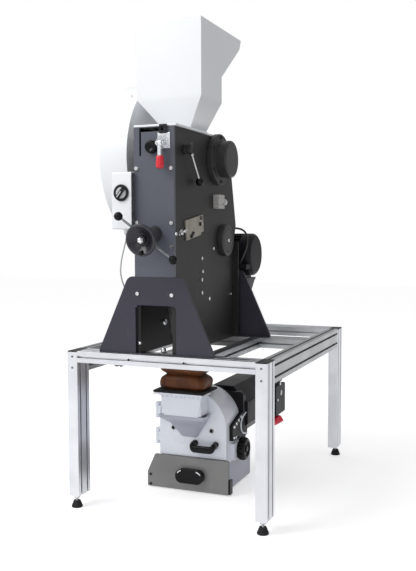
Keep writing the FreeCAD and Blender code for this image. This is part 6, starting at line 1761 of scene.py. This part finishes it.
# Switch box, control box and their parts
@dataclass
class Electrics:
    """Switch box with its rotary switch and gland, and the control box with its red knob."""

    dial: Triple = (-149.0, 0.0, 1124.0)
    dial_turn: float = 38.0
    gland: Triple = (-135.0, 14.0, 1000.0)
    case_x: float = 373.5
    label: Pair = (152.0, 446.0)
    lamp: Pair = (114.0, 428.0)
    hanger_screw: Pair = (139.3, 479.0)
    knob: Triple = (360.0, 142.0, 359.0)
    knob_lean: Triple = (-0.55, 0.09, 0.83)
    stem: Triple = (354.5, 142.0, 379.0)
    stem_length: float = 18.0

    def build(self) -> None:
        """Finish both boxes."""
        polish("switch_box", "root", WHITE_SHEET, "white_paint", 1.6, 3)
        self.rotary_switch()
        self.cable_gland()
        polish("control_box", "root", CASE_DARK, "side_paint", 2.0, 3)
        self.case_details()
        self.red_knob()

    def rotary_switch(self) -> None:
        """Black ring dial with a pale face, a slanted handle and a pale strip on it as a painted highlight.
        """
        seat = at(*self.dial)
        ring = [(0, -2.5), (4, -2.5), (4, 0.4), (27.4, 0.4), (28.5, 1.6), (28.5, 4.6), (27, 6.2),
                (22.6, 6.6), (20.6, 4.4), (0, 4.2)]
        dial = Bench.lathe("rotary_switch_finished", ring, seat, -BACK, 72)
        dress(dial, "rotary_switch", CAP_BLACK, "cap", "rotary_switch")
        face = [(0, 4.3), (18.6, 4.3), (19.2, 4.8), (18.6, 5.4), (0, 5.6)]
        dress(Bench.lathe("rotary_face", face, seat, -BACK, 64), "rotary_switch", PALE_PLASTIC, "lead")
        turned = Matrix.Translation(seat) @ Matrix.Rotation(math.radians(self.dial_turn), 4, BACK)
        for name, low, high, width, segments, finish, slot in (
            ("rotary_handle", (-6, -13.6, -21), (6, -4.0, 21), 2.2, 4, CAP_BLACK, "cap"),
            # Pale strip along the handle: a painted highlight.
            ("rotary_mark", (-2.2, -14.3, -19), (2.2, -13.2, 6), 0.4, 2, PALE_PLASTIC, "lead"),
        ):
            piece = Bench.bevel(Bench.block(name, Vector(low) * MM, Vector(high) * MM), width, segments)
            piece.matrix_world = turned
            Bench.pick(piece)
            dress(Bench.settle(name), "rotary_switch", finish, slot)

    def cable_gland(self) -> None:
        """Pale ribbed gland under the switch box."""
        profile = [(2.9, 0), (12, 0), (12.6, 1), (12.6, 5), (11, 6), (11, 8), (12, 9), (12, 15), (9.4, 18),
                   (6, 21), (3.2, 22), (2.9, 0)]
        gland = Bench.lathe("cable_gland", profile, at(*self.gland), -UP, 40)
        dress(gland, "root", PALE_PLASTIC, "lead")

    def case_details(self) -> None:
        """Blank pale oval, small lamp and the hanger's screw."""
        oval = [(0, 0.1), (9, 0.1), (9.6, 0.8), (8.6, 1.6), (0, 1.8)]
        piece = Bench.lathe("case_oval", oval, at(self.case_x, *self.label), RIGHT, 48)
        dress(piece, "root", PALE_PLASTIC, "lead")
        lamp = [(0, 0.1), (4, 0.1), (4.4, 0.8), (3.4, 2.4), (0, 3.0)]
        piece = Bench.lathe("case_lamp", lamp, at(self.case_x, *self.lamp), RIGHT, 32)
        dress(piece, "root", WHITE_SHEET, "white_paint")
        screw = screw_head("hanger_screw", at(self.case_x, *self.hanger_screw), RIGHT, 5.0, 3.0)
        dress(screw, "root", BOLT_STEEL, "bright")

    def red_knob(self) -> None:
        """Chunky eight-sided red knob under the control box."""
        seat = at(*self.knob)
        profile = [(0, 8), (11, 7.5), (18, 2), (19.4, -1), (19.4, -13), (20.4, -16), (18, -19), (9, -20),
                   (0, -20)]
        knob = Bench.lathe("knob", profile, seat, Vector(self.knob_lean), 8)
        Bench.bevel(knob, 1.2, 3, 25.0)
        x, y, z = self.stem
        stem = Bench.rod("stem", 6.0, at(x, y, z - self.stem_length), at(x, y, z), 32)
        whole = Bench.join("red_button_finished", [knob, stem])
        dress(whole, "red_button", RED_KNOB, "red_grip", "red_button", angle=30.0)


# Bolts seen through the doorway of the front foot plate
@dataclass
class DoorwayBolts:
    """Bright bolts on the inner wall, on the jamb and on the front rail."""

    wall_bolt: Triple = (-99.0, 220.0, 661.0)
    jamb_bolt: Triple = (-99.0, 30.0, 607.0)
    rail_bolt: Triple = (-26.0, 66.0, 574.0)

    def build(self) -> None:
        """Place the three bolts."""
        bolts = [screw_head("bolt", at(*self.wall_bolt), RIGHT, 12.0, 10.0),
                 screw_head("bolt", at(*self.jamb_bolt), RIGHT, 6.0, 5.0),
                 screw_head("bolt", at(*self.rail_bolt), UP, 9.5, 15.0)]
        dress(Bench.join("doorway_bolts", bolts), "root", CHROME, "bright")


# Free leads
@dataclass
class Leads:
    """The motor's cable and the switch lead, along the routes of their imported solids."""

    cable_radius: float = 4.0
    cable_length: float = 0.1997
    cable_route: Sequence[Triple] = (
        (-4, 634, 1006), (36, 650, 1008), (70, 650, 990), (80, 642, 950), (74, 630, 910), (58, 624, 876),
    )
    lead_radius: float = 2.5
    lead_length: float = 0.2691
    lead_route: Sequence[Triple] = (
        (-135, 14, 984), (-146, 14, 944), (-163, 21, 898), (-175, 32, 848), (-169, 46, 801),
        (-147, 60, 766), (-124, 66, 742),
    )

    def build(self) -> None:
        cable = self.cord("motor_cable_sheath", self.cable_route, self.cable_radius)
        dress(cable, "root", CABLE_BLACK, "belt", "motor_cable")
        lead = self.cord("switch_lead_sheath", self.lead_route, self.lead_radius)
        dress(lead, "root", LEAD_GREY, "lead", "switch_lead")

    def cord(self, name: str, route: Sequence[Triple], radius: float) -> bpy.types.Object:
        """Smooth round cord along a route.

        Args:
            name: the piece's name.
            route: its control points, on the bench drawing.
            radius: in millimetres.

        Returns:
            The new cord.
        """
        curve = bpy.data.curves.new(name, "CURVE")
        curve.dimensions = "3D"
        Bench.trace(curve, [at(*place) for place in route], radius, steps=16, facets=6)
        cord = bpy.data.objects.new(name, curve)
        bpy.context.scene.collection.objects.link(cord)
        return cord


def coat_nodes() -> None:
    """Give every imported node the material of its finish."""
    for finish, names in NODE_FINISHES.items():
        for name in names:
            materials = frame["nodes"][name].data.materials
            materials.clear()
            materials.append(finish.material())


ASSEMBLIES = (
    Stand, CrusherBody, Drive, HopperAssembly, HandControls, GritPath, DiscMill, Electrics, DoorwayBolts,
    Leads,
)


def main() -> None:
    """Build the studio and every sub-assembly, in order."""
    logging.basicConfig(level=logging.INFO, format="%(message)s")
    for make in (mottle_group, peel_group, drawn_group, dust_group, scuff_group, weave_group):
        make()
    Studio().build()
    coat_nodes()
    for assembly in ASSEMBLIES:
        assembly().build()
        LOG.info("built %s", assembly.__name__)
    Bench.clear()


if __name__ == "__main__":
    main()
